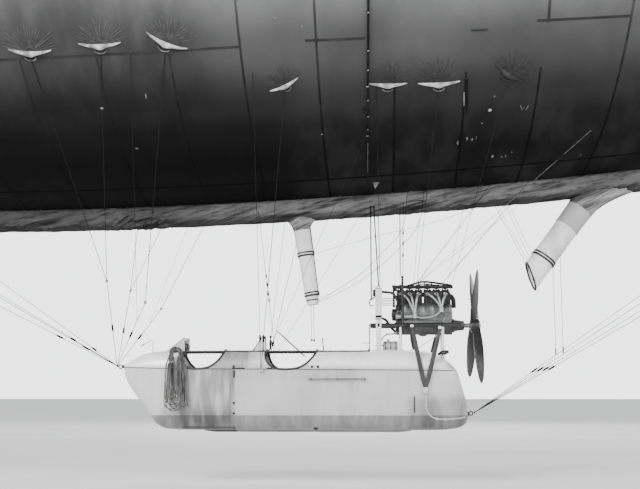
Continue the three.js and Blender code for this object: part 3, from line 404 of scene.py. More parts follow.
# slack folds in cloth: lean in degrees, length, width, share; the duct's shape takes FOLDS, and CREASES and SWEPT are
# painted as shade as well as relief
FOLDS = ((-13, 0.6, 0.045, 0.5), (-4, 0.9, 0.03, 0.35), (-72, 0.22, 0.05, 0.12))
CREASES = FOLDS + ((-18, 0.4, 0.014, 0.45), (-9, 0.5, 0.022, 0.3))
SWEPT = ((-18, 0.6, 0.05, 0.5), (-30, 0.4, 0.022, 0.4), (-24, 0.5, 0.012, 0.25))
LOOKS = {
    # the envelope's tone is painted darker towards the belly as shade
    "canvas": Look("envelope_dope", 0.116, 0.17, 1.6, 0.8, bump=0.3, depth=0.004, fine=9, shine=0.05)
    .streaked((1.2, 1, 0.5), 3.0, 0.088, 0.42).painted_belly_shade(PAINTED_BELLY_SHADE)
    # painted shade low on the flanks, a little over x 1 to 4.5 and much more over x -4 to 0
    .dirt_and_painted_light((1.0, 4.5, -2.4, -1.85, 0.4, 0.22, 0.3), tone=0.05, scale=2.4)
    .dirt_and_painted_light((-4, 0.0, -2.6, -1.5, 0.4, 0.5, 0.6), tone=0.004, scale=2.4),
    # the seam tapes and the patch cloth take the same painted belly shade
    "tape": Look("seam_tape", 0.042, 0.075, 7, 0.8, bump=0.3, fine=60, shine=0.04).painted_belly_shade(PAINTED_BELLY_SHADE_CLOTH),
    "finger": Look("patch_cloth", 0.085, 0.16, 30, 0.8, bump=0.4, fine=120, shine=0.05).painted_belly_shade(PAINTED_BELLY_SHADE_CLOTH),
    "flap": Look("flap_cloth", 0.13, 0.46, 16, 0.75, 0.01, bump=0.4, fine=140, spots=(0.38, 0.64)),
    # the duct's cloth is painted much darker than the sleeve's as shade, with painted shade in its creases and on its
    # underside; its zones are darker forward of x -0.1 and over x 2.3 to 4.6
    "duct": Look("duct_canvas_painted_shade", 0.12, 0.22, 3.2, 0.75, 0.01, bump=0.5, depth=0.006, fine=22, shine=0.15)
    .folds_with_painted_shade(CREASES, 0.012)
    .dirt_and_painted_light((-5, -0.1, -3, -2, 0.3, 0.54, 1), (2.3, 4.6, -3, -2, 0.3, 0.2, 0.8), tone=0.015).underside(0.22).woven(),
    # painted shade in the gusset's folds
    "gusset": Look("gusset_canvas", 0.25, 0.4, 4, 0.75, 0.01, bump=0.5, depth=0.004, fine=26, shine=0.15)
    .folds_with_painted_shade(SWEPT, 0.014, floor=0.2).woven(),
    "collar": Look("collar_canvas", 0.34, 0.46, 3.2, 0.7, 0.01, bump=0.4, depth=0.004, fine=30)
    .streaked((1, 1, 0.3), 7, 0.2, 0.6).woven(),
    "sleeve": Look("sleeve_canvas", 0.74, 0.86, 3.2, 0.7, 0.01, bump=0.4, depth=0.004, fine=30)
    .streaked((1, 1, 0.3), 7, 0.32, 0.7).woven(),
    "fin": Look("tail_cloth", 0.26, 0.33, 2.2, 0.55, bump=0.25, depth=0.002, fine=30)
    .streaked((0.3, 1, 1), 3.5, 0.17, 0.6),
    # the car's paint gets dirt streaks, painted highlights on its upper zones, then dirt and painted shade low down
    "car": Look("car_paint", 0.4, 0.48, 2.6, 0.34, 0.01, metallic=0.1, bump=0.1, depth=0.0012, fine=14, coat=0.15)
    .streaked((1.4, 1, 0.25), 4.5, 0.26, 0.7).dirt_and_painted_light(*PAINTED_HIGHLIGHTS, tone=0.88).dirt_and_painted_light(*DIRT_AND_PAINTED_SHADE),
    "moulding": Look("moulding_paint", 0.025, 0.06, 9, 0.5, depth=0.0006, shine=0.3),
    "wood": Look("varnished_wood", (0.2, 0.15, 0.11), (0.31, 0.245, 0.185), 5, 0.3, bump=0.2, depth=0.0006,
                 fine=70, stretch=(1, 6, 6), coat=0.4).streaked((1, 9, 9), 4, (0.12, 0.085, 0.06), 0.7),
    # darker at the crankcase's front end and low down
    "cast": Look("cast_alloy", 0.06, 0.13, 12, 0.42, metallic=0.6, bump=0.35, depth=0.0012, fine=130)
    .dirt_and_painted_light((1.5, 1.66, -3.7, -3.3, 0.01, 0.85, 0.9), (1.5, 2.3, -3.7, -3.54, 0.02, 0.5, 0.6), tone=0.012),
    "pipe": Look("bright_pipe", 0.26, 0.36, 9, 0.34, metallic=0.6, bump=0.12, depth=0.0006, fine=60),
    "iron": Look("black_enamel", 0.008, 0.025, 16, 0.5, bump=0.25, depth=0.0008, fine=110, shine=0.3),
    "barrel": Look("cylinder_iron", 0.012, 0.035, 14, 0.5, metallic=0.15, bump=0.3, depth=0.0008, fine=90,
                   shine=0.25),
    "strut": Look("strut_paint", 0.018, 0.04, 8, 0.45, depth=0.0006, fine=60, shine=0.3),
    "tank": Look("tank_paint", 0.28, 0.38, 7, 0.4, metallic=0.3, depth=0.0006, fine=60),
    "screen": Look("screen_sheet", 0.36, 0.46, 7, 0.4, 0.01, bump=0.1, depth=0.0006, fine=40),
    "tag": Look("toggle_wood", 0.1, 0.24, 26, 0.7, bump=0.3, depth=0.0005, fine=120, shine=0.2),
    "light": Look("light_paint", 0.58, 0.72, 8, 0.45, metallic=0.1, depth=0.0006, fine=60),
    "leather": Look("worn_leather", (0.05, 0.04, 0.032), (0.11, 0.085, 0.065), 18, 0.5, bump=0.5, depth=0.0015,
                    fine=160, sheen=0.1),
    "rim": Look("padded_rim", 0.008, 0.022, 20, 0.5, bump=0.5, fine=140),
    # the rope's dark patches are painted shade between its strands
    "rope": Look("hemp_rope_painted_strand_shade", 0.014, 0.17, 62, 0.85, 0.02, bump=0.6, depth=0.0012, fine=260,
                 stretch=(1, 1, 0.12), spots=(0.36, 0.66)),
    "dark_rope": Look("tarred_rope", 0.005, 0.016, 30, 0.85, 0.02, bump=0.6, fine=260, shine=0.05),
    "wire": Look("dark_wire", 0.006, 0.016, 30, 0.7, bump=0.2, depth=0.0005, fine=160, shine=0.1),
    "thread": Look("grey_thread", 0.06, 0.2, 40, 0.8, bump=0.3, depth=0.0005, fine=200, shine=0.2),
    "steel": Look("dull_steel", 0.14, 0.24, 20, 0.42, metallic=0.7, bump=0.2, depth=0.0005, fine=160),
    "brass": Look("dull_brass", 0.22, 0.34, 18, 0.35, 0.12, metallic=0.8, bump=0.2, depth=0.0005),
    "dial": Look("dial_face", 0.5, 0.62, 30, 0.4, bump=0.05, depth=0.0003),
    "glass": Look("celluloid", 0.63, 0.7, 6, 0.14, bump=0.04, depth=0.0004, alpha=0.45),
    # the keel's front part is painted near black as the shadow under the car's bottom
    "keel": Look("keel_wood", 0.2, 0.32, 5, 0.6, 0.03, bump=0.4, fine=60)
    .streaked((0.5, 6, 6), 5, 0.1, 0.6).dirt_and_painted_light((-0.3, 0.24, -4.6, -4.3, 0.03, 0.9, 0.9)),
    "propeller": Look("propeller_wood", 0.012, 0.03, 6, 0.3, 0.05, bump=0.12, depth=0.0005, fine=60, coat=0.12,
                      shine=0.2).streaked((30, 4, 4), 2, grey(0.008, 0.06), 0.8),
}


# Camera

def make_camera():
    lens = bpy.data.cameras.new("camera")
    lens.sensor_width = 36
    lens.lens = CAMERA["lens"]
    lens.clip_end = 500
    eye = bpy.data.objects.new("camera", lens)
    eye.location = CAMERA["place"]
    eye.rotation_euler = (math.radians(90 + CAMERA["pitch"]), 0, math.radians(CAMERA["yaw"]))
    bpy.context.collection.objects.link(eye)
    bpy.context.scene.camera = eye


# Rope hank

HANK = {"peg": (-0.241, -3.772), "inner": -0.2285, "outer": -0.266, "rope": 0.008, "fold": 0.0259, "turns": 4.35,
        "drops": (0.33, 0.385, 0.43, 0.468), "widths": (0.033, 0.044, 0.055, 0.067), "fan": 0.066, "steps": 72}
# half a turn is 2 long: a top arc, a run that widens from here to here, and a bottom arc
RUN_START, RUN_END = 0.3, 1.5


def hank_route():
    """Turns hang from the peg in layers, each outside the last, and run to and fro along the peg; the runs fan out."""
    peg_x, peg_z = HANK["peg"]
    pitch = HANK["rope"] * 1.06
    centre_z = peg_z + 0.008 + HANK["rope"] / 2 - HANK["fold"]
    layers = len(HANK["drops"])
    total = int(HANK["turns"] * HANK["steps"])
    route = []
    for layer in range(layers):
        for step in range(total + (layer == layers - 1)):
            share = step / total
            # the last tenth of a layer eases out to the next one
            level = layer + (eased((share - 0.9) / 0.1) if layer < layers - 1 else 0.0)
            low, part = int(level), level - int(level)
            high = min(low + 1, layers - 1)
            arc = HANK["fold"] + pitch * level
            drop, width = (HANK[name][low] * (1 - part) + HANK[name][high] * part for name in ("drops", "widths"))
            done = layer * HANK["turns"] + HANK["turns"] * share
            drop += 0.012 * math.sin(done * 2.3)
            across = share if layer % 2 == 0 else 1 - share
            y = HANK["inner"] + (HANK["outer"] - HANK["inner"]) * across
            phase = 4 * (done % 1.0)
            side, fall = (1, phase) if phase < 2 else (-1, 4 - phase)
            if fall < RUN_START:
                turn = math.pi / 2 * fall / RUN_START
                x, z = arc * math.sin(turn), arc * math.cos(turn)
            elif fall < RUN_END:
                t = (fall - RUN_START) / (RUN_END - RUN_START)
                x = arc + (width - arc) * math.sin(math.pi / 2 * t) ** 1.4
                z = -(drop - width) * t
            else:
                turn = math.pi / 2 * (fall - RUN_END) / (2 - RUN_END)
                x, z = width * math.cos(turn), -(drop - width) - width * math.sin(turn)
            fanned = HANK["fan"] * (0.5 - across) * eased(-z / 0.11)
            route.append(Vector((peg_x + side * x + fanned, y, centre_z + z)))
    return route


def even(points, spacing):
    """The same line with its points an even distance apart."""
    points = np.array([list(p) for p in points])
    gaps = np.linalg.norm(np.diff(points, axis=0), axis=1)
    along = np.concatenate([[0], np.cumsum(gaps)])
    spots = np.linspace(0, along[-1], max(int(along[-1] / spacing), 2) + 1)
    return [Vector([np.interp(s, along, points[:, k]) for k in range(3)]) for s in spots]


def make_hank():
    route = even(hank_route(), 0.006)
    rope = Shape().tube(route, HANK["rope"] / 2, sides=9, lobes=3, lay=0.035)
    made = piece("hank_rope", rope, "rope", replaces=["rope_hank"])
    knot = Shape()
    for lean in (0, 60, 120):
        axis = (math.cos(math.radians(lean)), 0.3, math.sin(math.radians(lean)))
        knot.ring(route[-1], axis, 0.0065, 0.0042, around=16, sides=7)
    tied = piece("hank_knot", knot, "rope")


# Envelope

def girth(x):
    along = x - ENVELOPE["widest"]
    if along < 0:
        return ENVELOPE["radius"] * math.sqrt(max(1 - (along / ENVELOPE["bow"]) ** 2, 0))
    return ENVELOPE["radius"] * max(1 - (along / ENVELOPE["stern"]) ** 2, 0)


def bow_station(share, power):
    """A station from the bow to the widest one, as a share of the way, close together at the bow."""
    return ENVELOPE["widest"] - ENVELOPE["bow"] * math.cos(math.pi / 2 * share ** power)


def skin(x, degrees, lift=0.0):
    """A point on the envelope, so many degrees round from the bottom, positive to port."""
    turn = math.radians(degrees)
    slope = (girth(x + 0.01) - girth(x - 0.01)) / 0.02
    tilt = math.atan(slope)
    out = girth(x) + lift * math.cos(tilt)
    return Vector((x - lift * math.sin(tilt), -out * math.sin(turn), -out * math.cos(turn)))


TAPE_HALF = 0.0105
SEAM_ENDS = (-9.6, 13.6)


def make_envelope():
    bow_x, stern_x = ENVELOPE["widest"] - ENVELOPE["bow"], ENVELOPE["widest"] + ENVELOPE["stern"]
    stations = [bow_station(i / 70, 1.15) for i in range(71)]
    stations += [ENVELOPE["widest"] + ENVELOPE["stern"] * i / 130 for i in range(1, 131)]
    around = 144
    rows = [[skin(x, 360 * k / around) for k in range(around)] for x in stations[1:-1]]
    shape = Shape().grid(rows, around=True)
    nose, tail = len(shape.points), len(shape.points) + 1
    shape.points += [Vector((bow_x, 0, 0)), Vector((stern_x, 0, 0))]
    last = (len(rows) - 1) * around
    shape.faces += [[nose, (k + 1) % around, k] for k in range(around)]
    shape.faces += [[tail, last + k, last + (k + 1) % around] for k in range(around)]
    piece("envelope_skin", shape, "canvas", replaces=["envelope"])

    hoops = Shape()
    for number in range(*HOOP["numbers"]):
        station = HOOP["first"] + number * HOOP["pitch"]
        shift = between(HOOP_SHIFT, max(number, HOOP_SHIFT[0][0]))
        stop = HOOP_STOPS.get(number)
        arcs = ((-stop, stop), (GORES[1], 360 - GORES[1])) if stop else ((0, 360),)
        for start, end in arcs:
            rows = []
            for degrees in spread(start, end, max(int((end - start) / 3.75), 8)):
                round_to = min(degrees, 360 - degrees) if degrees > 180 else abs(degrees)
                x = station + shift * (0.45 + 0.55 * max(0, min((round_to - 14) / 33, 1.3)))
                rows.append([skin(x + s, degrees, lift) for s, lift in
                             ((-TAPE_HALF, -0.002), (0.003 - TAPE_HALF, 0.0018), (TAPE_HALF - 0.003, 0.0018),
                              (TAPE_HALF, -0.002))])
            hoops.grid(rows)
    piece("hoop_tapes", hoops, "tape")
    gores = Shape()
    for x0, d0, x1, d1 in SEAMS + tuple((SEAM_ENDS[0], d, SEAM_ENDS[1], d) for d in GORES):
        count = max(int(abs(x1 - x0) / 0.155), int(abs(d1 - d0) / 2.5), 4)
        run = Vector((x1 - x0, math.radians(d1 - d0) * girth((x0 + x1) / 2))).normalized()
        rows = []
        for t in spread(0, 1, count):
            x, degrees = x0 + (x1 - x0) * t, d0 + (d1 - d0) * t
            rows.append([skin(x - run.y * TAPE_HALF * s, degrees + math.degrees(run.x * TAPE_HALF * s / girth(x)), lift)
                         for s, lift in ((-1, -0.002), (-0.8, 0.0024), (0.8, 0.0024), (1, -0.002))])
        gores.grid(rows)
    piece("gore_tapes", gores.mirrored(), "tape")


PATCHES = (
    # x, degrees round, tilt of the flap, scale, how far its tips turn up
    (-4.9, 45, 0, 1.0, 0.012), (-4.25, 45, 0, 1.0, 0.012), (-1.02, 47.9, -3, 1.05, 0.016),
    (-0.511, 48.8, 0, 1.03, 0.012), (-0.04, 48.8, -26, 1.05, 0.018), (0.783, 40.2, 26, 0.8, 0.01),
    (1.534, 39.4, -3, 0.95, 0.004), (1.909, 39.0, 0, 1.04, 0.006), (2.418, 40.1, -38, 0.95, 0.012),
    (6.7, 45, 0, 0.9, 0.012), (7.5, 45, 0, 0.9, 0.012),
)


def make_patches():
    """Each stay ends in a ring under a flap, with strips of cloth fanned up the skin from it."""
    fans, flaps, worn, rings = Shape(), Shape(), Shape(), Shape()
    for x, degrees, tilt, size, turned_up in PATCHES:
        cloth = worn if tilt < -30 else flaps

        def local(across, up, lift, x=x, degrees=degrees, tilt=tilt):
            lean = math.radians(tilt)
            a = across * math.cos(lean) - up * math.sin(lean)
            u = across * math.sin(lean) + up * math.cos(lean)
            return skin(x + a, degrees + math.degrees(u / girth(x)), lift)

        for k in range(23):
            stray = noise.noise(Vector((k * 1.7, x * 3.1, 0.5)))
            turn = math.radians(-80 + 160 * k / 22 + 5 * stray)
            reach = size * (0.185 + 0.07 * stray)
            rows = []
            for i in range(7):
                far = size * 0.03 + (reach - size * 0.03) * i / 6
                wide = 0.003 * size * ((0.9 + 0.5 * stray) if i < 6 else 0.3)
                a, u = math.sin(turn) * far, math.cos(turn) * far
                da, du = math.cos(turn) * wide, -math.sin(turn) * wide
                rows.append([local(a + da * s, u + du * s, lift)
                             for s, lift in ((-1, -0.001), (-0.6, 0.002), (0.6, 0.002), (1, -0.001))])
            fans.grid(rows)
        rows = []
        for t in spread(-1, 1, 40):
            far = abs(t)
            across = size * 0.148 * t
            top = size * (0.006 + turned_up * far ** 2)
            deep = size * (0.005 + 0.022 * (1 - far ** 1.5) ** 0.8 + 0.012 * math.exp(-(far / 0.22) ** 2))
            bulge = 0.004 + 0.014 * (1 - far ** 1.5)
            line = [local(across, top - deep * j / 6, 0.0025 + bulge * math.sin(math.pi * j / 6 * 0.72))
                    for j in range(7)]
            rows.append(line + [local(across, top - deep * s, -0.001) for s in (1.0, 0.5, 0.0)])
        cloth.grid(rows, around=True, ends=True)
        ring = [local(size * 0.036 * math.sin(t), size * (-0.03 - 0.022 * math.cos(t)), 0.012 + 0.003 * math.cos(t))
                for t in turns(20)]
        rings.tube(ring + [ring[0]], 0.0046, 8)
        lip = [local(size * 0.04 * t, size * (-0.06 + 0.018 * t * t), 0.006) for t in spread(-1, 1, 10)]
        cloth.tube(lip, [0.003] + [0.0055] * 9 + [0.003], 7)
    for name, shape, look in (("fans", fans, "finger"), ("flaps", flaps, "flap"), ("flap_worn", worn, "finger"),
                              ("rings", rings, "iron")):
        piece("patch_" + name, shape.mirrored(), look)


# Air duct

def duct_point(x, turn, lift=0.0):
    ends = min(x - DUCT["front"], DUCT["rear"] - x)
    fill = 0.25 + 0.75 * math.sin(math.pi / 2 * min(max(ends, 0) / DUCT["taper"], 1))
    width = DUCT["half"] * (0.6 + 0.4 * fill) + lift
    depth = DUCT["depth"] * fill + lift
    return Vector((x, width * math.cos(turn), -girth(x) + depth * math.sin(turn)))


def duct_edge(x, y):
    """The duct's underside, or the envelope's where the duct isn't."""
    if abs(y) < DUCT["half"] * 0.97 and DUCT["front"] < x < DUCT["rear"]:
        return -girth(x) - DUCT["depth"] * math.sqrt(max(1 - (y / DUCT["half"]) ** 2, 0)) + 0.012
    return -math.sqrt(girth(x) ** 2 - y ** 2)


# how slack the duct's cloth is along it: x, share
SLACK = ((-4.25, 0.5), (-1.05, 0.7), (-0.85, 1.7), (-0.4, 1.6), (-0.3, 0.35), (0.5, 0.4), (1.3, 0.8), (1.45, 1.6),
         (1.9, 1.5), (2.1, 0.9), (3.0, 0.8), (3.3, 1.4), (5.5, 0.9))


def crumple(x, turn):
    """How far the duct's cloth stands in or out: slack folds that slant along it, and gathers across it."""
    z = DUCT["depth"] * math.sin(turn)
    total = 0.0
    steep = eased((x + 1.05) / 0.2) * eased((-0.25 - x) / 0.2)
    for lean, length, width, share in FOLDS + ((-34, 0.4, 0.045, 1.2 * steep),):
        a = math.radians(-lean)
        along, across = x * math.cos(a) + z * math.sin(a), z * math.cos(a) - x * math.sin(a)
        wave = noise.noise(Vector((along / length, across / width, 1.5 * math.cos(turn))))
        total += share * (1 - 0.4 * steep) * max(1 - 3.2 * abs(wave), -0.5)
    gather = noise.noise(Vector((x * 7.0, turn * 1.3, 0.3)))
    return between(SLACK, x) * (0.02 * total - 0.008) + 0.006 * gather


def make_duct():
    rows = []
    steps, sides = 900, 34
    for i, x in enumerate(spread(DUCT["front"], DUCT["rear"], steps)):
        calm = min(i, steps - i, 8) / 8
        row = [Vector((x, -DUCT["half"] * 0.8, -girth(x) + DUCT["lap"]))]
        for k in range(sides + 1):
            turn = math.pi * (1 + k / sides)
            edge = math.sin(math.pi * k / sides) ** 0.5
            under = min(abs(math.cos(turn)) * 1.8, 1)
            row.append(duct_point(x, turn, crumple(x, turn) * calm * (0.3 + 0.7 * edge) * (0.3 + 0.7 * under)))
        rows.append(row + [Vector((x, DUCT["half"] * 0.8, -girth(x) + DUCT["lap"]))])
    piece("duct_cloth", Shape().grid(rows, around=True, ends=True), "duct", replaces=["belly_duct"])

    hem = Shape()
    for side in (math.pi * 1.02, math.pi * 1.98):
        hem.tube([duct_point(DUCT["front"] + 0.05 + (DUCT["rear"] - DUCT["front"] - 0.1) * i / 300, side, 0.003)
                  for i in range(301)], 0.0055, 6)
        for i in range(62):
            x = DUCT["front"] + 0.2 + i * 0.152
            at = duct_point(x, side, 0.0)
            out = -1 if at.y < 0 else 1
            eyelet = at + Vector((0, out * 0.004, -0.018))
            hem.ring(eyelet, (0, out, 0.2), 0.006, 0.0022, around=12, sides=5)
            up = skin(x + 0.01, -out * math.degrees(math.asin(min(abs(at.y) / girth(x) + 0.012, 1))), 0.002)
            hem.tube([eyelet, (eyelet + up) / 2 + Vector((0.004, out * 0.004, 0)), up], 0.0022, 5)
    piece("duct_lacing", hem, "duct")


class Sock:
    """A cloth tube that hangs from the duct: rings of points square across it."""

    def __init__(self, top, end, creases, sides):
        self.top, self.end = (Vector((x, 0, z)) for x, z in (top, end))
        self.down = (self.end - self.top).normalized()
        self.across = Vector((0, 1, 0))
        self.fore = self.down.cross(self.across).normalized()
        self.length = (self.end - self.top).length
        self.creases = creases
        self.sides = sides

    def ring(self, share, lift=0.0, crease=True):
        row = []
        for turn in turns(self.sides):
            c, s = math.cos(turn), math.sin(turn)
            wrinkle = 0.0
            if crease:
                wrinkle = sum(deep * noise.noise(Vector((c * fine, s * fine, share * along)))
                              for deep, fine, along in self.creases)
            row.append(self.point(share, c, s, self.radius(share) + lift + wrinkle))
        return row

    def bands(self, shape, table):
        """Straps round it: share of the way down, half width, thickness."""
        for share, wide, lift in table:
            shape.grid([self.ring(min(share + s * wide / self.length, 1.0), rise, False)
                        for s, rise in ((-1, -0.002), (-0.8, lift), (0.8, lift), (1, -0.002))], around=True)
        return shape

    def skirt(self, name, share, lift, middle, aim_x, half):
        """Cloth that sweeps from the tube's top ring up to the duct's underside, in pleats."""
        skirt = []
        feet = self.ring(share, lift, False)
        count = len(feet)
        for k in range(count + 1):
            foot = feet[k % count]
            turn = 2 * math.pi * k / count
            x = aim_x(math.sin(turn))
            y = half * math.cos(turn)
            aim = Vector((x, y, duct_edge(x, y) + 0.014))
            rise = max(aim.z - foot.z, 0.0)
            bend = foot - self.down * min(0.6 * rise / max(-self.down.z, 0.1), 0.2)
            depth = 0.003 * math.sin(turn * 11) + 0.003 * math.sin(turn * 17 + middle)
            pleat = Vector((math.sin(turn), math.cos(turn), 0)) * depth
            skirt.append([foot * (1 - t) ** 2 + bend * 2 * t * (1 - t) + aim * t * t
                          + pleat * math.sin(math.pi * min(t, 0.9)) for t in spread(0, 1, 14)])
        piece(name, Shape().grid([list(row) for row in zip(*skirt)]), "gusset")


class Sleeve(Sock):
    """It narrows slowly to its knee, and then faster to its end."""

    def __init__(self):
        super().__init__(SLEEVE["top"], SLEEVE["end"], ((0.003, 2, 26), (0.0025, 5, 5)), 40)
        low = Vector((SLEEVE["low"][0], 0, SLEEVE["low"][1]))
        self.knee = (low - self.top).length / self.length
        self.down = (low - self.top).normalized()
        self.fore = self.down.cross(self.across).normalized()

    def radius(self, share):
        r0, r1, r2 = SLEEVE["radii"]
        if share < self.knee:
            return r0 + (r1 - r0) * share / self.knee
        return r1 + (r2 - r1) * (share - self.knee) / (1 - self.knee)

    def point(self, share, c, s, reach):
        return self.top.lerp(self.end, share) + self.across * reach * c + self.fore * reach * s


class Scoop(Sock):
    """Its rings lie square across it until near its slanting mouth."""

    def __init__(self):
        super().__init__(SCOOP["root"], SCOOP["mouth"], ((0.0035, 2, 22),), 44)
        (x0, z0), (x1, z1) = SCOOP["lip"]
        self.lip = Vector((x0, 0, z0))
        self.normal = Vector((-(z1 - z0), 0, x1 - x0)).normalized()

    def radius(self, share):
        swell = 1.1 - 0.08 * min(share / 0.35, 1) if share < 0.35 else 1.02 - 0.02 * (share - 0.35) / 0.65
        return SCOOP["radius"] * swell

    def point(self, share, c, s, reach):
        start = self.top + (self.across * c + self.fore * s) * reach
        far = (self.lip - start).dot(self.normal) / self.down.dot(self.normal)
        reach_on = self.length * min(share, 0.82)
        if share > 0.82:
            reach_on += (far - reach_on) * (share - 0.82) / 0.18
        return start + self.down * reach_on


def make_sleeve():
    sock = Sleeve()
    shell = [sock.ring(i / 90) for i in range(91)]
    inner = [sock.ring(i / 90, -0.0045) for i in range(90, 40, -1)]
    piece("sleeve_cloth", Shape().grid(shell + inner, around=True), "sleeve", replaces=["front_sleeve"])
    bands = sock.bands(Shape(), ((0.441, 0.0065, 0.0075), (0.472, 0.0085, 0.0085), (0.87, 0.0065, 0.0075),
                                 (0.9, 0.0085, 0.0085), (0.95, 0.0055, 0.0045)))
    for share in (0.455, 0.886):
        bands.bead(sock.ring(share, 0.003, False)[11], sock.down, 0.018, 0.007, 0.015, 0.011, 10)
    bands.tube([sock.ring(s, 0.003, False)[11] for s in spread(0.06, 0.86, 30)], 0.0046, 6)
    piece("sleeve_bands", bands, "iron", slot="dark_metal")
    sock.skirt("sleeve_gusset", 0.2, 0.003, sock.top.x, lambda s: sock.top.x + 0.03 + 0.16 * s, 0.085)
    cords = Shape()
    for side in (-1, 1):
        start = sock.end + Vector((0.009 * side - 0.008, side * 0.03, 0.012))
        low = Vector((0.893 + 0.009 * side, side * 0.024, -3.67))
        cords.tube([start, start + Vector((0.002, 0, -0.16)), low + Vector((0, 0, 0.01))], 0.0024, 6)
        cords.bead(low, UP, 0.012, 0.003, 0.009, 0.008, 10)
    piece("sleeve_cords", cords, "rope")


def make_scoop():
    sock = Scoop()
    outer = [sock.ring(s) for s in spread(0.17, 1, 72)]
    inner = [sock.ring(s, -0.005) for s in spread(1, 0.3, 56)]
    piece("scoop_cloth", Shape().grid(outer + inner, around=True), "sleeve", replaces=["rear_scoop"])
    piece("scoop_bands", sock.bands(Shape(), ((0.77, 0.0075, 0.0075), (0.798, 0.0095, 0.0085))), "iron",
          slot="dark_metal")
    collar = [(0.165, 0.0)] + [(s, 0.004) for s in spread(0.18, 0.4, 20)] + [(0.411, 0.0066), (0.4115, -0.002)]
    piece("scoop_collar", Shape().grid([sock.ring(s, lift, s < 0.4) for s, lift in collar], around=True), "collar")
    sock.skirt("scoop_gusset", 0.19, 0.006, sock.top.x, lambda s: sock.top.x - 0.12 + 0.6 * ((1 + s) / 2) ** 1.3,
               0.105)
    mouth = sock.ring(1.0, -0.002, False)
    piece("scoop_hoop", Shape().tube(mouth + mouth[:1], 0.0075, 8), "iron")


# Tail surfaces

HINGE = 12.8
TAIL = {
    "stabilizer": [(9.85, 0.9), (11.25, 1.95), (11.5, 2.08), (11.8, 2.14), (12.775, 2.15)],
    "elevator": [(0.62, 0), (0.7, 0.6), (0.85, 0.735), (1.05, 0.77), (1.75, 0.77), (1.96, 0.72), (2.09, 0.56),
                 (2.14, 0)],
    "rudder": [(0.62, 0), (0.7, 0.69), (0.86, 0.83), (1.08, 0.87), (1.8, 0.87), (2.02, 0.81), (2.15, 0.64), (2.2, 0)],
    "lower_fin": [(9.65, 1.0), (11.15, 1.99), (11.4, 2.13), (11.75, 2.2), (12.775, 2.21)],
    "upper_fin": [(10.15, 1.0), (11.5, 1.59), (11.75, 1.67), (12.05, 1.69), (12.56, 1.62), (12.7, 1.3)],
    "knuckles": (0.76, 1.38, 2.0),
}
RIB = 0.19


def slack(out):
    """The cloth of a tail surface sinks between its ribs."""
    return abs(math.sin(math.pi * out / RIB)) ** 0.7


def fixed_surface(outline, rear):
    rows = []
    start = next(x for x in np.arange(outline[0][0], rear, 0.005) if between(outline, x) > girth(x) + 0.01)
    for i in range(61):
        x = start + (rear - start) * (i / 60) ** 1.3
        upper, lower = [], []
        for out in spread(girth(x) - 0.012, between(outline, x), 60):
            edge = min((between(outline, x) - out) / 0.07, 1, (rear - x) / 0.03 + 0.5)
            thick = 0.006 + 0.012 * math.sqrt(max(edge, 0)) - 0.0035 * slack(out) * min(edge, 1)
            upper.append(Vector((x, out, thick)))
            lower.append(Vector((x, out, -thick)))
        rows.append(upper + lower[::-1])
    return Shape().grid(rows, around=True, ends=True)


def hinged_surface(outline):
    inner, outer = outline[0][0], outline[-1][0]
    rows = []
    for out in spread(inner, outer, 90):
        reach = max(between(outline, out), 0.02)
        upper, lower = [], []
        for i, far in enumerate(spread(0.016, reach, 24)):
            edge = min((reach - far) / 0.2, 1)
            thick = 0.004 + 0.011 * max(edge, 0) ** 0.6 - 0.003 * slack(out) * min(edge, 1) * (i > 0)
            upper.append(Vector((HINGE + far, out, thick)))
            lower.append(Vector((HINGE + far, out, -thick)))
        rows.append(upper + lower[::-1])
    shape = Shape().grid(rows, around=True, ends=True)
    stops = [inner] + [k + s * 0.01535 for k in TAIL["knuckles"] for s in (-1, 1)] + [outer]
    for a, b in zip(stops[::2], stops[1::2]):
        nose = []
        for out in (a, b):
            curve = [(HINGE + 0.018 * math.cos(t), out, 0.018 * math.sin(t))
                     for t in [math.pi * (0.33 + 1.34 * n / 14) for n in range(15)]]
            nose.append([(HINGE + 0.017, out, 0.0145)] + curve + [(HINGE + 0.017, out, -0.0145)])
        shape.grid(nose, around=True, ends=True)
    return shape


def lugs():
    iron = Shape()
    for out in TAIL["knuckles"]:
        iron.bead((HINGE, out, 0), (0, 1, 0), 0.015, 0.009, 0.013, 0.011, 18)
        iron.block((HINGE - 0.075, out - 0.0145, -0.0072), (HINGE - 0.008, out + 0.0145, 0.0072))
        for x in (HINGE - 0.06, HINGE - 0.035):
            iron.bead((x, out, 0), UP, 0.0105, 0.003, 0.009, 0.0045, 8)
    return iron


def pins():
    iron = Shape()
    for out in TAIL["knuckles"]:
        iron.rod((HINGE, out - 0.023, 0), (HINGE, out + 0.023, 0), 0.006, 14)
        for low, high in ((out - 0.05, out - 0.0165), (out + 0.0165, out + 0.05)):
            iron.block((HINGE + 0.004, low, -0.0165), (HINGE + 0.09, high, 0.0165))
    return iron


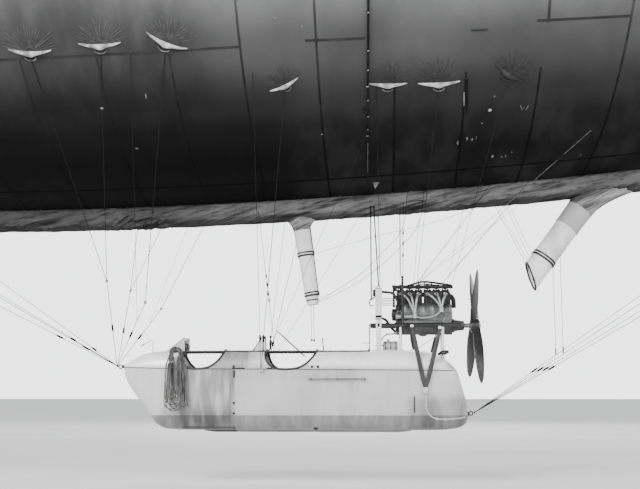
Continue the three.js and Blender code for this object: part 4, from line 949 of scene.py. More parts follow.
def make_tail():
    def add(name, shape, degrees, look, **rest):
        shape.points = spun(shape.points, degrees)
        piece(name, shape, look, **rest)

    for name, outline, degrees in (("stabilizer_starboard", "stabilizer", 0), ("stabilizer_port", "stabilizer", 180),
                                   ("fin_lower", "lower_fin", -90)):
        add(name + "_cloth", fixed_surface(TAIL[outline], HINGE - 0.025), degrees, "fin", replaces=[name])
        add(name + "_knuckles", lugs(), degrees, "iron", bevel=0.001)
    add("fin_upper_cloth", fixed_surface(TAIL["upper_fin"], 12.69), 90, "fin", replaces=["fin_upper"])
    for name, outline, degrees in (("elevator_starboard", "elevator", 0), ("elevator_port", "elevator", 180),
                                   ("rudder", "rudder", -90)):
        add(name + "_cloth", hinged_surface(TAIL[outline]), degrees, "fin", body=name, replaces=[name])
        add(name + "_pins", pins(), degrees, "iron", body=name, bevel=0.001)

    # bracing wires from the stabilizers, at 0 and 180 degrees, to the fins
    wires = Shape()
    for x in (11.3, 12.3):
        for degrees, fin in ((0, -90), (180, -90), (0, 90), (180, 90)):
            up, reach = (0.02, 1.4) if fin == 90 else (-0.02, 1.65)
            a, b = spun([Vector((x, 1.6, 0))], degrees)[0], spun([Vector((min(x + 0.1, 12.4), reach, 0))], fin)[0]
            a, b = a + Vector((0, 0, up)), b + Vector((0, 0.02 if degrees == 0 else -0.02, 0))
            wires.rod(a, b, 0.0018, 5)
            for end in (a, b):
                wires.bead(end, b - a, 0.009, 0.004, 0.006, 0.008, 8)
    piece("tail_wires", wires, "steel")


def make_nose():
    profile = [bow_station(i / 40, 1.3) for i in range(2, 12)]
    rim = [(x - 0.012, girth(x) + 0.003) for x in profile]
    rim = [(rim[0][0] - 0.003, 0.03)] + rim + [(rim[-1][0] + 0.03, rim[-1][1] + 0.006)]
    cap = Shape().grid([[(x, r * math.cos(t), r * math.sin(t)) for t in turns(48)] for x, r in rim], around=True,
                       ends=True)
    bow_x = ENVELOPE["widest"] - ENVELOPE["bow"]
    cap.turned([(-0.045, 0.098), (-0.043, 0.105), (-0.02, 0.105), (-0.012, 0.12), (0.02, 0.125)], (bow_x, 0, 0),
               sides=36)
    for n in range(8):
        degrees = 45 * n + 90
        rows = []
        for share in spread(0, 1, 28):
            x = bow_station(0.16 + 0.38 * share, 1.3)
            lean = math.degrees(0.016 * (1 - 0.45 * share) / girth(x))
            lift = 0.0115 * (1 - 0.5 * share ** 3)
            rows.append([skin(x, degrees + side * lean, out) for side, out in
                         ((-1, -0.006), (-1, lift * 0.7), (0, lift), (1, lift * 0.7), (1, -0.006))])
        cap.grid(rows, around=True, ends=True)
    piece("nose_battens", cap, "fin", replaces=["nose_cap"], bevel=0.001)
    bolts = Shape()
    for turn in turns(12):
        bolts.turned([(-0.0055, 0.004), (-0.0035, 0.0065), (0.002, 0.0065)],
                     (bow_x - 0.043, 0.082 * math.cos(turn), 0.082 * math.sin(turn)), sides=6)
    bolts.ring((bow_x - 0.047, 0, 0), AFT, 0.03, 0.006, around=24)
    piece("nose_bolts", bolts, "iron")


# Car

HULL = np.array([
    # x, half width, shoulder z, keel z, crown z
    [-0.735, 0.012, -3.900, -3.925, -3.888], [-0.715, 0.044, -3.901, -3.985, -3.870],
    [-0.670, 0.084, -3.902, -4.060, -3.842], [-0.600, 0.122, -3.904, -4.150, -3.804],
    [-0.510, 0.154, -3.907, -4.262, -3.774], [-0.425, 0.176, -3.910, -4.375, -3.760],
    [-0.340, 0.193, -3.913, -4.414, -3.753], [-0.200, 0.207, -3.915, -4.423, -3.750],
    [0.000, 0.214, -3.916, -4.424, -3.750], [1.500, 0.215, -3.927, -4.424, -3.750],
    [1.750, 0.210, -3.929, -4.424, -3.753], [1.880, 0.200, -3.930, -4.424, -3.768],
    [1.970, 0.187, -3.931, -4.422, -3.804], [2.045, 0.170, -3.932, -4.416, -3.858],
    [2.100, 0.152, -3.940, -4.408, -3.922], [2.145, 0.128, -4.080, -4.392, -4.055],
    [2.178, 0.096, -4.190, -4.365, -4.170], [2.196, 0.050, -4.260, -4.330, -4.248],
])
WALL = 0.005
# stations of the stem, the panels' joints, the sternpost and a clip on the side, and the bilge's height
STEM, BOW_JOINT, STERN_JOINT, STERN_POST, CLIP = -0.735, -0.34, 1.7, 2.098, 0.246
BILGE = -4.297
# the section is a superellipse above and below its shoulders, drawn with this many points
CROWN_POWER, KEEL_POWER, OUTLINE = 2.3, 5, 301
# the rear hatch: front, back, half width
HATCH = (1.005, 1.372, 0.118)
# a cockpit's edges as (z, x), from the middle of its low side up to the crown
FRONT_EDGE = [(-3.916, -0.066), (-3.913, -0.125), (-3.905, -0.15), (-3.89, -0.17), (-3.87, -0.19), (-3.85, -0.205),
              (-3.82, -0.22), (-3.79, -0.2265), (-3.70, -0.228)]
FRONT_BACK = [(-3.916, -0.066), (-3.913, -0.02), (-3.905, 0.02), (-3.89, 0.052), (-3.87, 0.082), (-3.85, 0.104),
              (-3.82, 0.127), (-3.79, 0.142), (-3.75, 0.152), (-3.70, 0.152)]
MIDDLE_EDGE = [(-3.92, 0.684), (-3.917, 0.61), (-3.909, 0.578), (-3.894, 0.553), (-3.874, 0.531), (-3.85, 0.515),
               (-3.82, 0.504), (-3.79, 0.5), (-3.70, 0.498)]
MIDDLE_BACK = [(-3.92, 0.684), (-3.917, 0.74), (-3.909, 0.782), (-3.894, 0.816), (-3.874, 0.848), (-3.85, 0.874),
               (-3.82, 0.902), (-3.79, 0.921), (-3.75, 0.935), (-3.70, 0.935)]


def hull_at(x):
    """Half width, shoulder, keel and crown at a station, on smooth curves through the table."""
    xs = HULL[:, 0]
    i = int(np.clip(np.searchsorted(xs, x) - 1, 0, len(xs) - 2))
    span = xs[i + 1] - xs[i]
    t = float(np.clip((x - xs[i]) / span, 0, 1))
    values = []
    for column in range(1, 5):
        v = HULL[:, column]
        slopes = []
        for n in (i, i + 1):
            left = (v[n] - v[n - 1]) / (xs[n] - xs[n - 1]) if n > 0 else None
            right = (v[n + 1] - v[n]) / (xs[n + 1] - xs[n]) if n < len(xs) - 1 else None
            if left is None or right is None:
                slopes.append(right if left is None else left)
            elif left * right <= 0:
                slopes.append(0.0)
            else:
                slopes.append(2 * left * right / (left + right))
        h00, h10 = 2 * t ** 3 - 3 * t ** 2 + 1, t ** 3 - 2 * t ** 2 + t
        h01, h11 = -2 * t ** 3 + 3 * t ** 2, t ** 3 - t ** 2
        values.append(h00 * v[i] + h10 * span * slopes[0] + h01 * v[i + 1] + h11 * span * slopes[1])
    return values


SECTION = {}


def section(x, above):
    """The section's outline from starboard to port, as (y, z) points an even distance apart."""
    key = (round(x, 5), above)
    if key not in SECTION:
        half, shoulder, keel, crown = hull_at(x)
        height = crown - shoulder if above else keel - shoulder
        power = 2 / (CROWN_POWER if above else KEEL_POWER)
        turn = np.linspace(0, math.pi, 1201)
        y = half * np.sign(np.cos(turn)) * np.abs(np.cos(turn)) ** power
        z = shoulder + height * np.abs(np.sin(turn)) ** power
        along = np.concatenate([[0], np.cumsum(np.hypot(np.diff(y), np.diff(z)))])
        spots = np.linspace(0, along[-1], OUTLINE)
        SECTION[key] = (np.interp(spots, along, y), np.interp(spots, along, z))
    return SECTION[key]


def hull_point(x, share, above=True):
    """A point of the hull at a share of its section's outline, from starboard to port."""
    y, z = section(x, above)
    at = np.linspace(0, 1, OUTLINE)
    return Vector((x, float(np.interp(share, at, y)), float(np.interp(share, at, z))))


def side_y(x, z):
    """Half the hull's width at a height."""
    half, shoulder, keel, crown = hull_at(x)
    height, power = (crown - shoulder, CROWN_POWER) if z > shoulder else (shoulder - keel, KEEL_POWER)
    return half * max(1 - min(abs(z - shoulder) / height, 1) ** power, 0) ** (1 / power)


def deck_z(x, y):
    """The deck's height at a point of its plan."""
    half, shoulder, _, crown = hull_at(x)
    return shoulder + (crown - shoulder) * max(1 - (abs(y) / half) ** CROWN_POWER, 0) ** (1 / CROWN_POWER)


def meet(edge, share):
    """Where the line at this share of the section meets a cockpit's edge."""
    low, high = min(x for _, x in edge), max(x for _, x in edge)
    for _ in range(22):
        x = (low + high) / 2
        if between(edge, hull_point(x, share).z) > x:
            low = x
        else:
            high = x
    return (low + high) / 2


# a rivet's head as (along, radius), and the steps in a cowl's arch
RIVET = [(-0.001, 0.0028), (0.0006, 0.0026), (0.0012, 0.0014)]
ARCH = 84


def arch_rows(count):
    """Shares of the section, close together near the shoulders."""
    return [t - 0.9 * math.sin(2 * math.pi * t) / (2 * math.pi) for t in spread(0, 1, count)]


def cowl_shape(front, rear, rows, columns):
    """A cowl between two edges, each a station or a cockpit's edge."""
    shape = Shape()
    lines = []
    for share in rows:
        x0 = front if isinstance(front, float) else meet(front, share)
        x1 = rear if isinstance(rear, float) else meet(rear, share)
        lines.append([hull_point(x, share) for x in spread(x0, x1, columns)])
    return shape.grid(lines)


def lower_rows(x_start, x_end, columns):
    return [[hull_point(x, share, above=False) for share in spread(0, 1, 72)] for x in spread(x_start, x_end, columns)]


def make_cowls():
    rows = arch_rows(ARCH)
    piece("bow_cowl", cowl_shape(STEM, FRONT_EDGE, rows, 44), "car", replaces=["cowl_bow"], thick=WALL)
    piece("middle_cowl", cowl_shape(FRONT_BACK, MIDDLE_EDGE, rows, 24), "car", replaces=["cowl_middle"], thick=WALL)
    x0, x1, half = HATCH
    y, _ = section(1.2, True)
    edge = float(np.interp(-half, -y, np.linspace(0, 1, OUTLINE)))
    flank = [edge * (t ** 1.9) for t in spread(0, 1, 24)]
    rows = flank + spread(edge, 1 - edge, 30)[1:] + [1 - share for share in reversed(flank)][1:]
    rear = cowl_shape(MIDDLE_BACK, x0, rows, 8)
    for part in (rows[:25], rows[-25:]):
        rear.grid([[hull_point(x, share) for x in spread(x0, x1, 16)] for share in part])
    rear.grid([[hull_point(x, share) for x in spread(x1, 1.75, 12) + spread(1.75, STERN_POST, 26)[1:]]
               for share in rows])
    piece("rear_cowl", rear, "car", replaces=["cowl_rear"], thick=WALL)


def make_panels():
    piece("bow_panel", Shape().grid(lower_rows(STEM, BOW_JOINT, 30)), "car", replaces=["car_bow"], thick=WALL)
    for side, name in ((-1, "car_side_port"), (1, "car_side_starboard")):
        lines = []
        for x in spread(BOW_JOINT, STERN_JOINT, 60):
            top = hull_at(x)[1]
            lines.append([Vector((x, side * side_y(x, min(z, top - 1e-6)), z)) for z in spread(top, BILGE, 26)])
        piece(name + "_panel", Shape().grid(lines), "car", replaces=[name], thick=WALL)
    lines = []
    for x in spread(BOW_JOINT, STERN_JOINT, 60):
        y, z = section(x, False)
        low = np.where(z <= BILGE)[0]
        ys = np.concatenate([[side_y(x, BILGE)], y[low], [-side_y(x, BILGE)]])
        zs = np.concatenate([[BILGE], z[low], [BILGE]])
        along = np.concatenate([[0], np.cumsum(np.hypot(np.diff(ys), np.diff(zs)))])
        lines.append([Vector((x, float(np.interp(s, along, ys)), float(np.interp(s, along, zs))))
                      for s in np.linspace(0, along[-1], 41)])
    piece("bottom_panel", Shape().grid(lines), "car", replaces=["car_bottom"], thick=WALL)
    stern = Shape().grid(lower_rows(STERN_JOINT, STERN_POST, 30))
    tail_rows = []
    for x in spread(STERN_POST, 2.196, 30):
        upper = [hull_point(x, share) for share in spread(0, 1, 40)]
        under = [hull_point(x, share, above=False) for share in spread(1, 0, 72)]
        tail_rows.append(upper + under[1:-1])
    stern.grid(tail_rows, around=True)
    stern.add(tail_rows[-1], [list(range(len(tail_rows[-1])))])
    piece("stern_panel", stern, "car", replaces=["car_stern"], thick=WALL)


def make_straps():
    trim = Shape()
    for side in (-1, 1):
        line = []
        for x in spread(-0.725, 2.07, 130):
            z = hull_at(x)[1]
            line.append((x, side * (side_y(x, z - 1e-4) + 0.0005), z))
        trim.tube(line, 0.0038, 6)
    piece("shoulder_moulding", trim, "moulding")

    straps, bars = Shape(), Shape()
    for side in (-1, 1):
        for x, top, wide, proud in ((BOW_JOINT, -3.925, 0.012, 0.0016), (CLIP, -3.925, 0.006, 0.003),
                                    (STERN_JOINT, -3.935, 0.012, 0.0016), (0.95, -3.93, 0.008, 0.0008),
                                    (1.3, -3.93, 0.008, 0.0008)):
            rows = []
            for z in spread(top, -4.29, 24):
                y = side * side_y(x, z)
                rows.append([(x + s * wide, y + side * out, z)
                             for s, out in ((-1, -0.001), (-1, proud), (1, proud), (1, -0.001))])
            straps.grid(rows, around=True, ends=True)
        clip = sorted(side * (side_y(CLIP, -3.95) + y) for y in (0.001, 0.009))
        bars.block((0.239, clip[0], -3.99), (0.252, clip[1], -3.927))
        straps.grid([[(x, side * (side_y(x, z) + proud), z) for z, proud in
                      ((BILGE - 0.008, 0.0), (BILGE - 0.007, 0.0016), (BILGE + 0.007, 0.0016), (BILGE + 0.008, 0.0))]
                     for x in spread(BOW_JOINT, 1.95, 70)])
    for x in (0.362, 1.66):
        rows = []
        for share in spread(0, 1, 60):
            at, ahead, behind = (hull_point(x + s, share) for s in (0, -0.009, 0.009))
            out = Vector((0, at.y, (at.z - hull_at(x)[1]) * 1.5)).normalized()
            rows.append([ahead - out * 0.0005, ahead + out * 0.0014, behind + out * 0.0014, behind - out * 0.0005])
        straps.grid(rows)
    piece("panel_straps", straps, "car")
    piece("side_bars", bars, "iron", bevel=0.001)


def make_rivets():
    rivets = Shape()
    for side in (-1, 1):
        # rows under and over the moulding, the upper one broken by the cockpits, and one along the bilge
        for row in ("under", "over", "bilge"):
            for k in range(60):
                x = -0.32 + k * 0.0375
                shoulder = hull_at(x)[1]
                z = {"under": shoulder - 0.013, "over": shoulder + 0.013, "bilge": BILGE + 0.014}[row]
                if row == "over" and (-0.19 < x < 0.06 or 0.54 < x < 0.83):
                    continue
                rivets.turned(RIVET, (x, side * side_y(x, z), z), axis=(0, side, 0), sides=6)
        for x in (BOW_JOINT - 0.006, BOW_JOINT + 0.006, STERN_JOINT - 0.006, STERN_JOINT + 0.006, CLIP):
            for k in range(12):
                z = -3.94 - k * 0.031
                y = side_y(x, z) + (0.0028 if x == CLIP else 0.0014)
                rivets.turned(RIVET, (x, side * y, z), axis=(0, side, 0), sides=6)
    piece("rivets", rivets, "moulding")


# the hatch's rim starts well forward of the hatch and runs aft along both sides of the deck
RIM_FRONT = -0.32


def make_rims():
    rims = Shape()
    arches = arch_rows(ARCH)
    for fore, aft in ((FRONT_EDGE, FRONT_BACK), (MIDDLE_EDGE, MIDDLE_BACK)):
        front, rear = ([hull_point(meet(edge, s), s) for s in arches] for edge in (fore, aft))
        loop = front[::-1] + rear
        loop = even(loop + [loop[0]], 0.016)
        last = len(loop) - 1
        loop = [loop[i].lerp((loop[i - 1] + loop[(i + 1) % last]) / 2, 0.5) for i in range(last)]
        rims.tube(loop + [loop[0]], 0.0095, 10)
    _, aft, half = HATCH
    corners = ((RIM_FRONT, -half), (aft, -half), (aft, half), (RIM_FRONT, half), (RIM_FRONT, -half))
    path = []
    for (ax, ay), (bx, by) in zip(corners, corners[1:]):
        for t in spread(0.04, 0.96, 14):
            x, y = ax + (bx - ax) * t, ay + (by - ay) * t
            path.append(Vector((x, y, deck_z(x, y) + 0.001)))
    rims.tube(path + [path[0]], 0.0085, 10)
    piece("cockpit_rims", rims, "rim")


def make_skid():
    rows = []
    top, low = -4.4245, -4.442
    for x in spread(-0.025, 1.725, 70):
        ends = min((x + 0.025) / 0.09, (1.725 - x) / 0.09, 1)
        drop = low if ends >= 1 else low + 0.012 * (1 - ends)
        half = 0.04 * (0.8 + 0.2 * min(ends, 1))
        rows.append([(x, -half, top), (x, -half, drop + 0.003), (x, -half + 0.003, drop), (x, half - 0.003, drop),
                     (x, half, drop + 0.003), (x, half, top)])
    piece("keel_runner", Shape().grid(rows, around=True, ends=True), "keel", replaces=["keel_skid"])


# Inside the car

FLOOR_LOW, FLOOR_HIGH, FLOOR_HALF = -4.3298, -4.3202, 0.19
DIALS = ((-0.1, -3.86, 0.028), (-0.03, -3.84, 0.034), (0.045, -3.845, 0.03), (0.112, -3.868, 0.026),
         (-0.06, -3.93, 0.022), (0.0, -3.93, 0.022), (0.07, -3.93, 0.022))


def inner_arch(x, above, step):
    """The section's outline just inside the wall."""
    lift = -0.008 if above else 0.007
    return [(float(a) * 0.965, float(b) + lift) for a, b in list(zip(*section(x, above)))[::step]]


def dial(faces, bezels, x, y, z, r):
    bezels.turned([(0.006, r), (0.015, r), (0.0165, r - 0.0025), (0.0135, r - 0.004), (0.006, r - 0.004)], (x, y, z))
    faces.turned([(0.006, r - 0.004), (0.0105, r - 0.004), (0.011, r - 0.006)], (x, y, z))
    for n in range(8):
        lean = math.radians(-135 + 270 * n / 7)
        tick = Vector((x + 0.0108, y + (r - 0.009) * math.sin(lean), z + (r - 0.009) * math.cos(lean)))
        bezels.turned([(-0.0004, 0.0012), (0.0008, 0.0012)], tick, sides=6)
    lean = math.radians(40 * math.sin(y * 90))
    hand = (x + 0.0118, y + (r - 0.01) * math.sin(lean), z + (r - 0.01) * math.cos(lean))
    bezels.rod((x + 0.0118, y, z), hand, 0.0011, 5)


def make_inside():
    floor = Shape()
    boards = 9
    for n in range(boards):
        y0 = -FLOOR_HALF + 2 * FLOOR_HALF * n / boards + 0.0012
        y1 = -FLOOR_HALF + 2 * FLOOR_HALF * (n + 1) / boards - 0.0012
        rows = []
        for x in spread(-0.306, 1.4385, 40):
            reach = side_y(x, FLOOR_LOW) - 0.009
            a, b = max(min(y0, reach - 0.004), -reach), min(max(y1, 0.004 - reach), reach)
            rows.append([(x, a, FLOOR_LOW), (x, b, FLOOR_LOW), (x, b, FLOOR_HIGH), (x, a, FLOOR_HIGH)])
        floor.grid(rows, around=True, ends=True)
    piece("floor_boards", floor, "wood", replaces=["car_floor"], bevel=0.0012)
    for name, x0 in (("bulkhead_front", -0.32), ("bulkhead_rear", 1.44)):
        outline = inner_arch(x0, True, 6) + inner_arch(x0, False, -6)
        wall = Shape().grid([[(x, a, b) for a, b in outline] for x in (x0, x0 + 0.012)], around=True, ends=True)
        piece(name + "_board", wall, "wood", replaces=[name])
    for name, x0 in (("panel_front", -0.258), ("panel_middle", 0.476)):
        low = side_y(x0, -3.99) * 0.96
        outline = inner_arch(x0, True, 6) + [(-low, -3.99), (low, -3.99)]
        board = Shape().grid([[(x, a, b) for a, b in outline] for x in (x0, x0 + 0.008)], around=True, ends=True)
        piece(name + "_board", board, "iron", replaces=[name], bevel=0.001)
        faces, bezels = Shape(), Shape()
        for y, z, r in DIALS:
            dial(faces, bezels, x0, y, z, r)
        piece(name + "_dials", faces, "dial", slot="dark_metal")
        piece(name + "_bezels", bezels, "brass")


# a pad's buttons, as shares of its half sizes
BUTTONS = [(u, v) for u in (-0.45, 0.45) for v in (-0.5, 0, 0.5)]


def cushion(half, height, crown):
    """A stuffed pad: crowned, pulled in at its corners and at its buttons."""
    hx, hy = half
    top, under = [], []
    for u in spread(-1, 1, 22):
        line_top, line_under = [], []
        for v in spread(-1, 1, 22):
            pull = 1 - 0.035 * (abs(u) * abs(v)) ** 2 - 0.02 * (1 - abs(u)) * (abs(v) > 0.97)
            edge = (1 - abs(u) ** 6) * (1 - abs(v) ** 6)
            z = height * 0.5 + crown * (1 - u * u) * (1 - v * v)
            for bu, bv in BUTTONS:
                z -= crown * 0.9 * math.exp(-((u - bu) ** 2 + (v - bv) ** 2) / 0.018)
            line_top.append((u * hx * pull, v * hy * pull, z * max(edge, 0) ** 0.35))
            line_under.append((u * hx * pull, v * hy * pull, -height * 0.5 * max(edge, 0) ** 0.4))
        top.append(line_top)
        under.append(line_under)
    shape = Shape().grid(top).grid(under)
    seam = []
    for s in range(4):
        for t in spread(-1, 1, 16)[:-1]:
            u, v = ((t, -1), (1, t), (-t, 1), (-1, -t))[s]
            seam.append(Vector((u * hx * 0.985, v * hy * 0.985, 0)))
    shape.tube(seam + [seam[0]], 0.003, 6)
    for bu, bv in BUTTONS:
        shape.turned([(0, 0.005), (0.002, 0.0045), (0.003, 0.002)],
                     (bu * hx, bv * hy, height * 0.5 + crown * (1 - bu * bu) * (1 - bv * bv) - crown * 0.9),
                     axis=UP, sides=10)
    return shape


def make_seats():
    for name, back in (("seat_front", 0.115), ("seat_middle", 0.85), ("seat_rear", 1.265)):
        stool = Shape()
        stool.block((back - 0.175, -0.09, -4.165), (back - 0.001, 0.09, -4.157))
        stool.block((back - 0.005, -0.09, -4.165), (back, 0.09, -3.965))
        for x in (back - 0.155, back - 0.03):
            for y in (-0.075, 0.075):
                stool.turned([(0, 0.009), (0.05, 0.011), (0.1, 0.009), (0.156, 0.01)], (x, y, -4.32), UP, 10)
        for y in (-0.075, 0.075):
            stool.rod((back - 0.155, y, -4.26), (back - 0.03, y, -4.26), 0.006, 8)
        piece(name + "_frame", stool, "wood", replaces=[name], bevel=0.001)
        for label, at, half, height, crown, lean in (
            ("_pad", (back - 0.094, 0, -4.148), (0.078, 0.088), 0.014, 0.012, None),
            ("_rest", (back - 0.012, 0, -4.058), (0.09, 0.088), 0.011, 0.009, -90),
        ):
            pad = cushion(half, height, crown)
            if lean:
                pad.points = spun(pad.points, lean, "Y")
            pad.points = [p + Vector(at) for p in pad.points]
            piece(name + label, pad, "leather")


def make_wheels():
    for name, x in (("wheel_front", -0.095), ("wheel_middle", 0.64)):
        hub = Vector((x, 0, -4.03))
        rim = Shape().ring(hub, AFT, 0.075, 0.0068, around=40, sides=10)
        piece(name + "_rim", rim, "wood", replaces=[name])
        iron = Shape()
        for n in range(4):
            turn = math.radians(45 + 90 * n)
            out = Vector((0, math.cos(turn), math.sin(turn)))
            iron.tube([hub + out * 0.01, hub + out * 0.045 + Vector((-0.004, 0, 0)), hub + out * 0.073], 0.0042, 7)
        iron.turned([(-0.03, 0.01), (-0.026, 0.013), (0.004, 0.013), (0.009, 0.009), (0.011, 0.003)], hub, sides=20)
        iron.turned([(0, 0.02), (0.008, 0.0115), (0.27, 0.0105), (0.3, 0.0115)], (x - 0.024, 0, -4.3195), UP, 16)
        piece(name + "_post", iron, "iron")


def make_windscreens():
    # foot, top and half width of each pane, and what its side sheets and its frame are
    for name, x0, z0, x1, z1, half, cheek, frame_look in (
        ("windscreen_front", -0.425, -3.83, -0.198, -3.65, 0.118, "screen", "screen"),
        ("windscreen_middle", 0.345, -3.83, 0.474, -3.632, 0.105, "glass", "strut"),
    ):
        foot, top = Vector((x0, 0, z0)), Vector((x1, 0, z1))

        def start(y, x0=x0, x1=x1, z0=z0, z1=z1):
            """The share of the pane's slope at which it meets the deck."""
            t = 0.0
            for _ in range(30):
                t = max(0.0, (deck_z(x0 + (x1 - x0) * t, y) - z0) / (z1 - z0))
            return t

        rows = []
        for y in spread(-half, half, 20):
            low = start(y)
            bow = 0.012 * (1 - (y / half) ** 2)
            rows.append([foot.lerp(top, low + (1 - low) * k / 12) + Vector((-bow * (0.3 + 0.7 * k / 12), y, 0))
                         for k in range(13)])
        piece(name + "_pane", Shape().grid(rows), "glass", replaces=[name], thick=0.0025)
        cheeks, edges = Shape(), Shape()
        for y in (-half, half):
            corner = foot.lerp(top, start(y))
            lines = []
            for x in spread(corner.x, x1, 16):
                low = deck_z(x, y) - 0.002
                high = z0 + (z1 - z0) * (x - x0) / (x1 - x0)
                lines.append([Vector((x, y, low + (max(high, low + 0.0005) - low) * k / 6)) for k in range(7)])
            cheeks.grid(lines)
            edges.tube([Vector((corner.x, y, corner.z)), Vector((x1, y, z1))], 0.0042, 8)
            edges.tube([Vector((x1, y, z1)), Vector((x1 + 0.004, y, deck_z(x1, y)))], 0.0042, 8)
        piece(name + "_cheeks", cheeks, cheek, thick=0.002)
        edges.tube([top + Vector((-0.012 * (1 - (y / half) ** 2), y, 0)) for y in spread(-half, half, 20)], 0.0048, 8)
        low_line = []
        for y in spread(-half, half, 20):
            at = foot.lerp(top, start(y))
            low_line.append(Vector((at.x - 0.0036 * (1 - (y / half) ** 2), y, at.z + 0.002)))
        edges.tube(low_line, 0.004, 8)
        piece(name + "_frame", edges, frame_look)


# Engine group

AXIS = -3.548
CYLINDERS = [1.645 + 0.076 * n for n in range(6)]
# where an arm of the bed carries a strut's top: x, z
ARMS = ((1.732, -3.565), (1.964, -3.58))


def even_curve(points, count):
    """A smooth line through a few points."""
    points = [Vector(p) for p in points]
    padded = [points[0] * 2 - points[1]] + points + [points[-1] * 2 - points[-2]]
    line = []
    for i in range(len(points) - 1):
        a, b, c, d = padded[i:i + 4]
        each = max(count // (len(points) - 1), 2)
        for k in range(each):
            t = k / each
            line.append(0.5 * ((2 * b) + (c - a) * t + (2 * a - 5 * b + 4 * c - d) * t ** 2
                               + (3 * b - a - 3 * c + d) * t ** 3))
    return line + [points[-1]]


def make_bed():
    bed = Shape()
    for side in (-1, 1):
        for near, far, low, high in ((0.07, 0.095, -3.564, -3.56), (0.07, 0.095, -3.536, -3.532),
                                     (0.08, 0.085, -3.562, -3.534)):
            y0, y1 = sorted((side * near, side * far))
            bed.block((1.385, y0, low), (2.15, y1, high))
        for x in spread(1.45, 2.1, 9):
            bed.turned([(-0.004, 0.006), (0.004, 0.006)], (x, side * 0.0825, -3.531), UP, 6)
    for x in (1.395, 1.455):
        bed.block((x - 0.01, -0.095, -3.563), (x + 0.01, 0.095, -3.536))
    piece("engine_bearers", bed, "iron", replaces=["engine_frame"], bevel=0.0012)
    posts = Shape()
    for side in (-1, 1):
        y = side * 0.0825
        z0 = deck_z(1.455, y) - 0.004
        posts.block((1.432, y - 0.0125, z0), (1.478, y + 0.0125, -3.4905))
        posts.block((1.422, y - 0.02, z0), (1.488, y + 0.02, z0 + 0.009))
        for x in (1.64, 1.995):
            z0 = deck_z(x, y) - 0.004
            posts.turned([(0, 0.022), (0.007, 0.021), (0.012, 0.0125), (-3.562 - z0, 0.0118)], (x, y, z0), UP, 16)
        for x, z in ARMS:
            posts.rod((x, side * 0.083, z + 0.012), (x, side * 0.214, z), 0.0108, 14)
            posts.bead((x, side * 0.214, z), (0, side, 0), 0.016, 0.008, 0.012, 0.015, 14)
    posts.rod((1.995, -0.082, -3.7), (1.995, 0.082, -3.7), 0.009, 12)
    for y in (-0.08, 0.08):
        posts.rod((1.64, y, -3.84), (1.995, y, -3.6), 0.0035, 6)
    piece("bed_posts", posts, "light", bevel=0.0012)
    mast = Shape()
    x, y = 1.658, -0.16
    mast.turned([(0, 0.01), (0.004, 0.012), (0.02, 0.012), (0.024, 0.0095), (0.405, 0.0092), (0.41, 0.0065),
                 (0.414, 0.009), (0.421, 0.0125), (0.43, 0.012), (0.436, 0.005)], (x, y, -3.572), UP, 16)
    for z in (-3.48, -3.38, -3.28, -3.2):
        mast.bead((x, y, z), UP, 0.008, 0.0095, 0.006, 0.0118, 12)
    mast.block((x - 0.008, y - 0.006, -3.572), (x + 0.008, -0.094, -3.556))
    mast.rod((x, y, -3.3), (1.59, -0.02, -3.3), 0.004, 8)
    piece("mast_rod", mast, "iron", bevel=0.0008)


